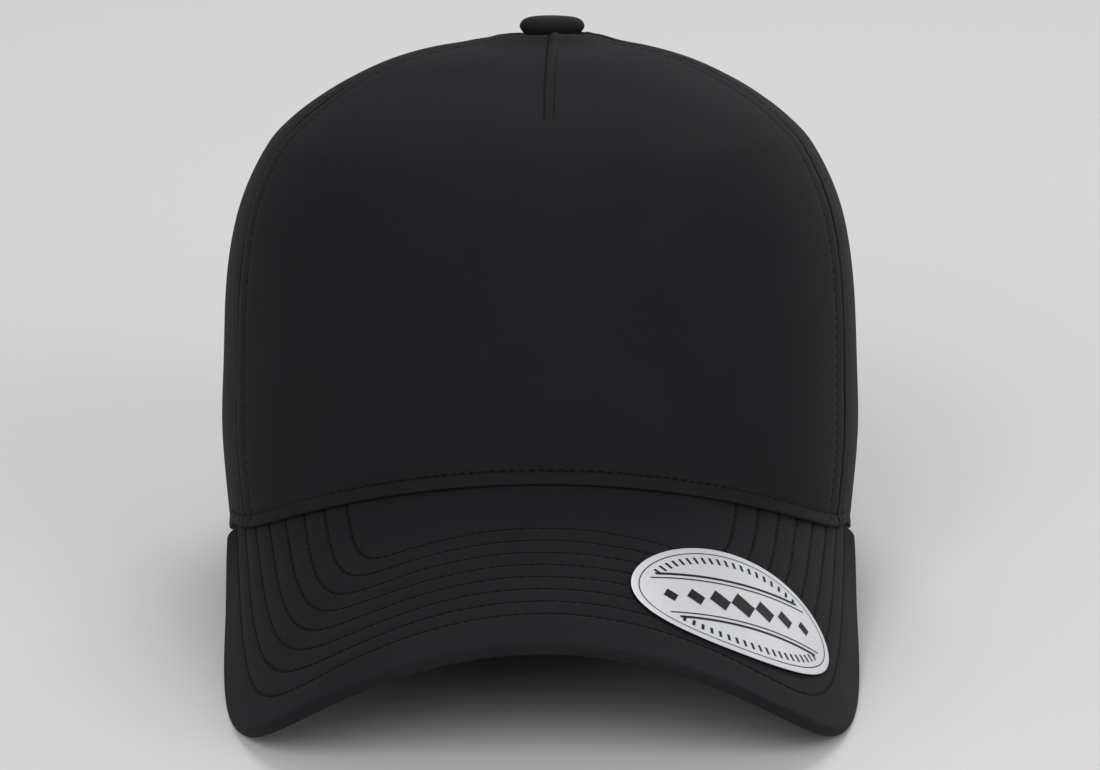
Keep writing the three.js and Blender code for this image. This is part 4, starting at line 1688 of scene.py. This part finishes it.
@dataclass
class SweatBand:
    """The band of cloth inside the rim, turned in behind the visor and stitched."""

    form: CapForm
    row: RowFrame
    finishes: Finishes
    height: float = 32.0
    thickness: float = 1.4
    inset: float = 0.8
    cover: float = 4.0
    end_inset: float = 2.0
    end_steps: tuple[float, ...] = (0.0, 0.003, 0.008)  # radians
    end_clear: float = 0.02
    unevenness: float = 0.12
    strap_thickness: float = 1.5
    strap_lap: float = 14.0
    strap_taper: float = 22.0
    stitch_height: float = 3.2
    stitch_top: float = 1.8
    edge_reach: float = 0.7

    def depth(self, angle: Array) -> Array:
        """Return how deep the outer face lies, further in where the strap is behind it."""
        form = self.form
        strap_end = form.arch_half_width + self.strap_lap
        distance = (math.pi - np.abs(angle)) * form.back_reach
        near = 1 - smooth_step(distance, strap_end + form.gap, strap_end + self.strap_taper)
        return form.panel + form.gap + (self.strap_thickness + form.gap) * near

    def lowest(self, angle: Array) -> Array:
        """Return the height of the lower edge, behind the visor's seam in front."""
        form = self.form
        limit = np.clip(angle, -form.visor_end, form.visor_end)
        seam = form.crown(limit, form.seam_along(limit, form.panel, 0.0))[..., 2] - self.cover
        behind = smooth_step(np.abs(angle), form.visor_end, form.visor_end + 3 * DEGREE)
        return np.maximum(seam * (1 - behind), self.inset)

    def face(self, angle: Array, level: Array, extra: Array | float) -> Array:
        """Return points of the band at a share of its height and a depth inside its face."""
        height = self.lowest(angle) + self.height * level
        depth = self.depth(angle) + extra
        point = self.form.inside(angle, self.form.at_height(height), depth)
        return self.row.press(point, self.inset)

    def build(self) -> None:
        """Build and dress the band and its stitches."""
        form = self.form
        end = float(form.back_angle(form.arch_half_width + self.end_inset))
        steps = np.array(self.end_steps)
        inner_end = end - self.end_clear
        middle = np.linspace(-inner_end, inner_end, 300)
        angle = np.concatenate([-end + steps, middle, end - steps[::-1]])
        level = spaced([(0, 0.03, 4), (0.03, 0.97, 16), (0.97, 1.0, 4)])
        angles, levels = np.meshgrid(angle, level, indexing="ij")
        plain = self.face(angles, levels, np.zeros_like(angles))
        up = running(plain, 1)
        around = running(plain, 0)
        border = np.minimum.reduce([up, up[:, -1:] - up, around, around[-1:] - around])
        drop = edge_drop(border, self.edge_reach, self.thickness / 2)
        soft = self.unevenness * waves(around, up, 31, 35) * (1 - drop * 2 / self.thickness)
        outer = self.face(angles, levels, drop)
        inner = self.face(angles, levels, self.thickness - drop + np.maximum(soft, -0.1))
        share_border(inner, outer)
        weave = (around, up)
        maps = {"weave": map_pair(weave, weave)}
        mesh = shell_mesh("sweatband_cloth", self.row.place(outer), self.row.place(inner), maps)
        finished("sweatband_cloth", mesh, self.finishes.band, Slot.BAND, "sweatband")
        runs = []
        for share in (self.stitch_height / self.height, 1 - self.stitch_top / self.height):
            path = np.linspace(-inner_end, inner_end, 500)
            points = self.face(path, np.full_like(path, share), self.thickness - 0.02)
            out = -form.crown_normal(path, form.at_height(self.lowest(path) + 10))
            runs.append(Run(points, out))
        thread = RunMaker()
        mesh = thread.mesh("sweatband_stitching", runs, self.row, self.finishes.thread)
        finished("sweatband_stitching", mesh, self.finishes.thread, Slot.BAND)


@dataclass
class BackStrap:
    """The moulded strap across the arch: two lapped tongues held by a row of studs."""

    form: CapForm
    row: RowFrame
    finishes: Finishes
    height: float = 17.0
    thickness: float = 1.5
    lap: float = 14.0
    inset: float = 0.6
    stud_count: int = 7
    stud_pitch: float = 9.0
    stud_ease: float = 0.995  # keeps the last stud on the end of its path
    stud_radius: float = 2.4
    stud_height: float = 0.7
    tongue_end: float = 33.0
    tongue_gap: float = 0.04
    tongue_round: float = 8.5
    edge_reach: float = 0.45

    def point(self, distance: Array, level: Array, depth: Array | float) -> Array:
        """Return points of the strap by distance from the middle of the back."""
        form = self.form
        angle = form.back_angle(distance)
        rim = form.crown(angle, np.zeros_like(angle))
        floor = np.maximum(0, (rim[..., 1] - form.rim_touch) * self.row.slope)
        height = floor + self.inset + self.height * level
        depth = form.panel + form.gap + np.asarray(depth)
        return form.inside(angle, form.at_height(height), np.broadcast_to(depth, angle.shape))

    def tongue(self, name: str, start: float, end: float, near: float, far: float) -> bpy.types.Mesh:
        """Build one tongue, with its free end rounded.

        Args:
            name: Name of the mesh.
            start: Distance of its rounded end from the middle of the back.
            end: Distance of its sewn end.
            near: Depth of its outer face.
            far: Depth of its inner face.

        Returns:
            The mesh.
        """
        way = math.copysign(1, end - start)
        length = abs(end - start)
        run = spaced([(0, 0.9, 6), (0.9, 9, 14), (9, length - 0.9, 80), (length - 0.9, length, 6)])
        level = spaced([(0, 0.04, 5), (0.04, 0.96, 18), (0.96, 1, 5)])
        runs, levels = np.meshgrid(run, level, indexing="ij")
        round_end = np.sqrt(np.clip(1 - (1 - np.minimum(runs / self.tongue_round, 1)) ** 2, 0, 1))
        half = 0.5 * (0.25 + 0.75 * round_end)
        levels = 0.5 + (levels * 2 - 1) * half
        distances = start + way * runs
        plain = self.point(distances, levels, np.full_like(runs, near))
        up = running(plain, 1)
        border = np.minimum.reduce([up, up[:, -1:] - up, runs, length - runs])
        half_depth = (far - near) / 2
        drop = edge_drop(border, self.edge_reach, half_depth)
        outer = self.point(distances, levels, near + drop)
        inner = self.point(distances, levels, far - drop)
        return shell_mesh(name, self.row.place(outer), self.row.place(inner), {})

    def build(self) -> None:
        """Build and dress the two tongues and the studs."""
        end = self.form.arch_half_width + self.lap
        middle = self.thickness / 2
        outer = middle - self.tongue_gap / 2
        lapped = self.tongue("strap_outer", -self.tongue_end, end, 0.0, outer)
        finished("strap_outer", lapped, self.finishes.plastic, Slot.PLASTIC, "back_strap")
        inner = middle + self.tongue_gap / 2
        under = self.tongue("strap_inner", self.tongue_end, -end, inner, self.thickness)
        finished("strap_inner", under, self.finishes.plastic, Slot.PLASTIC)
        span = (self.stud_count - 1) / 2 * self.stud_pitch
        distance = np.linspace(-span, span, self.stud_count * 12)
        out = self.form.crown_normal(self.form.back_angle(distance), np.full_like(distance, 0.05))
        points = self.point(distance, np.full_like(distance, 0.5), np.full_like(distance, 0.0))
        across = self.stud_radius * 2
        pitch = self.stud_pitch * self.stud_ease
        studs = RunMaker(Repeat.STUD, pitch, across, across, self.stud_height * 2, 24, 12)
        mesh = studs.mesh("strap_studs", [Run(points, out)], self.row, self.finishes.plastic)
        finished("strap_studs", mesh, self.finishes.plastic, Slot.PLASTIC)


@dataclass
class VisorLabel:
    """The oval foil label on the visor, with a plain printed border and ornament, and dark ink round
    its rim as painted shade.
    """

    form: CapForm
    row: RowFrame
    finishes: Finishes
    length: float = 65.0
    width: float = 39.8
    thickness: float = 0.4
    turn: float = 22.4 * DEGREE
    across: float = 52.8
    forward: float = 32.2
    lift: float = 0.3
    ink: float = 0.05
    sides: int = 128
    rings: int = 26
    edge_reach: float = 0.2
    border_inset: float = 2.2
    border_half: float = 0.14
    line_place: float = 6.6
    lines: tuple[tuple[float, ...], ...] = ((1.0, 5.5, 0.22), (1.24, 6.5, 0.42))
    lozenge_pitch: float = 7.4
    lozenge_half: tuple[float, float] = (3.9, 4.3)
    tick_inset: tuple[float, float] = (5.2, 4.8)

    def on_visor(self, long: Array, wide: Array, lift: Array | float) -> Array:
        """Return points over the visor from the label's own two axes.

        Args:
            long: Distance along the label in millimetres.
            wide: Distance across it.
            lift: Height over the visor's top face.

        Returns:
            Points of the cap's frame.
        """
        cos, sin = math.cos(self.turn), math.sin(self.turn)
        across = self.across + long * cos - wide * sin
        forward = self.forward - long * sin - wide * cos
        point = self.form.visor(across, forward)
        lift = np.broadcast_to(lift, across.shape)[..., None]
        return point + self.form.visor_normal(point[..., 0]) * lift

    def strip(self, centre: Array, offset: Array) -> tuple[Array, Array]:
        """Return a strip of ink between two edges of a path on the label."""
        height = self.lift + self.thickness + self.ink
        edges = [centre - offset, centre + offset]
        points = np.stack(
            [self.on_visor(edge[:, 0], edge[:, 1], height) for edge in edges], 1
        )
        number = np.arange(len(centre) * 2).reshape(-1, 2)
        faces = np.stack([number[:-1, 0], number[1:, 0], number[1:, 1], number[:-1, 1]], -1)
        return points.reshape(-1, 3), faces

    def border(self) -> tuple[Array, Array]:
        """Return the ring of ink inside the label's edge."""
        angle = np.linspace(0, 2 * math.pi, 145)
        out = np.stack([np.cos(angle), np.sin(angle)], -1)
        reach = np.array([self.length, self.width]) / 2 - self.border_inset
        return self.strip(out * reach, out * self.border_half)

    def line(self, wide: float, inset: float, half: float) -> tuple[Array, Array]:
        """Return a straight line of ink along the label."""
        reach = self.length / 2 * math.sqrt(1 - (wide / (self.width / 2)) ** 2) - inset
        long = np.linspace(-reach, reach, 40)
        centre = np.stack([long, np.full_like(long, wide)], -1)
        return self.strip(centre, np.broadcast_to([0.0, half], centre.shape))

    def lozenge(self, long: float, half_long: float, half_wide: float) -> tuple[Array, Array]:
        """Return one lozenge of ink on the label's long axis."""
        along = np.linspace(-1, 1, 13)
        centre = np.stack([long + along * half_long, np.zeros_like(along)], -1)
        wide = half_wide * np.maximum(1 - np.abs(along), 0.02)
        return self.strip(centre, np.stack([np.zeros_like(wide), wide], -1))

    def build(self) -> None:
        """Build and dress the label and its print."""
        sides, rings = self.sides, self.rings
        ring = 1 - (1 - np.linspace(0, 1, rings + 1)) ** 1.6
        angle = np.linspace(0, 2 * math.pi, sides + 1)[:-1, None]
        long = ring * self.length / 2 * np.cos(angle)
        wide = ring * self.width / 2 * np.sin(angle)
        border = (1 - ring) * self.width / 2
        drop = edge_drop(border, self.edge_reach, self.thickness / 2) * np.ones_like(angle)
        upper = self.on_visor(long, wide, self.lift + self.thickness - drop)
        lower = self.on_visor(long, wide, self.lift + drop)
        points: list[Array] = []
        faces: list[list[int]] = []
        corners: list[tuple[float, float]] = []
        count = 0
        flat = np.stack([long, wide], -1)
        for grid, turned in ((upper, False), (lower, True)):
            points.append(grid[:, 1:].reshape(-1, 3))
            points.append(grid[:1, 0])
            number = count + np.arange(sides * rings).reshape(sides, rings)
            centre = count + sides * rings
            after = np.roll(number, -1, axis=0)
            for i in range(sides):
                j = (i + 1) % sides
                cells = [([centre, number[i, 0], after[i, 0]], [(0, 0), (i, 1), (j, 1)])]
                cells += [
                    (
                        [number[i, k], number[i, k + 1], after[i, k + 1], after[i, k]],
                        [(i, k + 1), (i, k + 2), (j, k + 2), (j, k + 1)],
                    )
                    for k in range(rings - 1)
                ]
                for face, spots in cells:
                    faces.append([int(v) for v in (face[::-1] if turned else face)])
                    corners += [tuple(flat[s]) for s in (spots[::-1] if turned else spots)]
            count += sides * rings + 1
        cloud = self.row.place(np.concatenate(points))
        mesh = mesh_of("label_foil", cloud, faces)
        add_map(mesh, "weave", np.array(corners))
        # painted shade: the outermost ring of faces on both sides takes the dark ink, so the rim
        # reads as a thin shadow line
        edge = np.tile(np.arange(rings) == rings - 1, 2 * sides)
        for material in (self.finishes.foil, self.finishes.ink):
            mesh.materials.append(material)
        mesh.polygons.foreach_set("material_index", edge.astype(np.int32))
        self.close(mesh)
        finished("label_foil", mesh, self.finishes.foil, Slot.FOIL, "visor_label")
        self.print_marks()

    def close(self, mesh: bpy.types.Mesh) -> None:
        """Join the two faces of a thin piece along their shared edge, facing out."""
        work = bmesh.new()
        work.from_mesh(mesh)
        bmesh.ops.remove_doubles(work, verts=work.verts, dist=1e-7)
        bmesh.ops.recalc_face_normals(work, faces=work.faces)
        work.to_mesh(mesh)
        work.free()

    def print_marks(self) -> None:
        """Print the border, the lines, the lozenges and the two rows of ticks."""
        marks = [self.border()]
        for wide in (self.line_place, -self.line_place):
            marks += [self.line(wide * share, inset, half) for share, inset, half in self.lines]
        long_half, wide_half = self.lozenge_half
        for index in range(-3, 4):
            size = 1 - 0.15 * abs(index)
            place = index * self.lozenge_pitch
            marks.append(self.lozenge(place, long_half * size, wide_half * size))
        points: list[Array] = []
        faces: list[Array] = []
        count = 0
        for part, table in marks:
            points.append(part)
            faces.append(table + count)
            count += len(part)
        cloud = self.row.place(np.concatenate(points))
        mesh = mesh_of("label_print", cloud, np.concatenate(faces).tolist())
        finished("label_print", mesh, self.finishes.ink, Slot.FOIL)
        runs = []
        for start, end in ((0.2, 0.8), (1.2, 1.8)):
            angle = np.linspace(start, end, 120) * math.pi
            long = (self.length / 2 - self.tick_inset[0]) * np.cos(angle)
            wide = (self.width / 2 - self.tick_inset[1]) * np.sin(angle)
            path = self.on_visor(long, wide, self.lift + self.thickness)
            runs.append(Run(path, self.form.visor_normal(path[:, 0])))
        ticks = RunMaker(Repeat.TICK, pitch=2.4, length=0.8, width=2.2, height=0.1)
        mesh = ticks.mesh("label_ticks", runs, self.row, self.finishes.ink)
        finished("label_ticks", mesh, self.finishes.ink, Slot.FOIL)


@dataclass
class Studio:
    """The floor, the soft lights and the camera at the photograph's angle."""

    row: RowFrame
    distance: float = 1500.0
    elevation: float = 7.34 * DEGREE
    yaw: float = -0.27 * DEGREE
    focal: float = 181.9
    target: tuple[float, float, float] = (0.0, 0.0, 40.0)
    aim_right: float = 2.56
    aim_down: float = 1.89
    floor_colour: str = "#dededc"
    floor_half: float = 9.0
    surround_colour: str = "#dfe1e6"
    surround_strength: float = 0.35
    lamps_aim: tuple[float, float, float] = (0.0, 0.0, 0.07)

    def build(self) -> None:
        """Build the stage."""
        self.floor()
        self.camera()
        self.lights()

    def floor(self) -> None:
        """Lay a plain pale floor."""
        half = self.floor_half
        points = np.array([[-half, -half, 0], [half, -half, 0], [half, half, 0], [-half, half, 0]])
        mesh = mesh_of("studio_floor", points, [[0, 1, 2, 3]])
        inputs = {"Base Color": linear(self.floor_colour), "Roughness": 0.9}
        mesh.materials.append(Recipe("paper_backdrop_matt").done(inputs))
        piece = bpy.data.objects.new("studio_floor", mesh)
        bpy.context.scene.collection.objects.link(piece)
        piece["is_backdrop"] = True

    def camera(self) -> None:
        """Place the camera where the photograph was taken from."""
        cos, sin = math.cos(self.elevation), math.sin(self.elevation)
        back = np.array([math.sin(self.yaw) * cos, -math.cos(self.yaw) * cos, sin])
        right = np.array([math.cos(self.yaw), math.sin(self.yaw), 0.0])
        up = np.cross(back, right)
        target = np.array(self.target)
        aim = target + right * self.aim_right - up * self.aim_down
        eye = aim + back * self.distance
        place = Vector(self.row.place(eye).tolist())
        look = Vector(self.row.place(aim).tolist()) - place
        data = bpy.data.cameras.new("camera")
        data.sensor_width = 36.0
        data.lens = self.focal
        data.clip_end = 50.0
        camera = bpy.data.objects.new("camera", data)
        camera.location = place
        camera.rotation_euler = look.to_track_quat("-Z", "Y").to_euler()
        bpy.context.scene.collection.objects.link(camera)
        bpy.context.scene.camera = camera

    def lights(self) -> None:
        """Hang four soft lights and set a pale, dim surround."""
        lamps = [
            ("key", (-0.55, -1.5, 1.15), 1.3, 16.8),
            ("fill", (1.1, -1.1, 0.8), 1.2, 9.0),
            ("top", (0.05, 0.75, 1.35), 1.0, 9.0),
            ("card", (1.5, 2.2, 0.75), 1.5, 10.0),
        ]
        aim = Vector(self.lamps_aim)
        for name, place, size, power in lamps:
            data = bpy.data.lights.new(name, "AREA")
            data.shape = "DISK"
            data.size = size
            data.energy = power
            lamp = bpy.data.objects.new(name, data)
            lamp.location = place
            lamp.rotation_euler = (aim - Vector(place)).to_track_quat("-Z", "Y").to_euler()
            bpy.context.scene.collection.objects.link(lamp)
        world = bpy.data.worlds.new("surround")
        world.use_nodes = True
        background = world.node_tree.nodes["Background"]
        background.inputs["Color"].default_value = linear(self.surround_colour)
        background.inputs["Strength"].default_value = self.surround_strength
        bpy.context.scene.world = world
        bpy.context.scene.view_settings.view_transform = "Standard"


def corners(bounds: Any) -> list[list[float]]:
    """Return a pair of corners as plain lists of numbers."""
    return [[float(value) for value in corner] for corner in bounds]


def main() -> None:
    """Build the cap and its studio."""
    logging.basicConfig(level=logging.INFO, format="%(message)s")
    packed = corners(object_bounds())
    form = CapForm()
    row = RowFrame(form)
    log.info("rest tilt %.3f degrees, shift %.3f mm", row.tilt / DEGREE, row.shift)
    finishes = Finishes()
    Studio(row).build()
    for assembly in (
        Crown(form, row, finishes),
        Visor(form, row, finishes),
        Button(form, row, finishes),
        SweatBand(form, row, finishes),
        BackStrap(form, row, finishes),
        VisorLabel(form, row, finishes),
    ):
        assembly.build()
        log.info("%s is built", type(assembly).__name__)
    {"cad": packed, "visual": corners(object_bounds())}


if __name__ == "__main__":
    main()
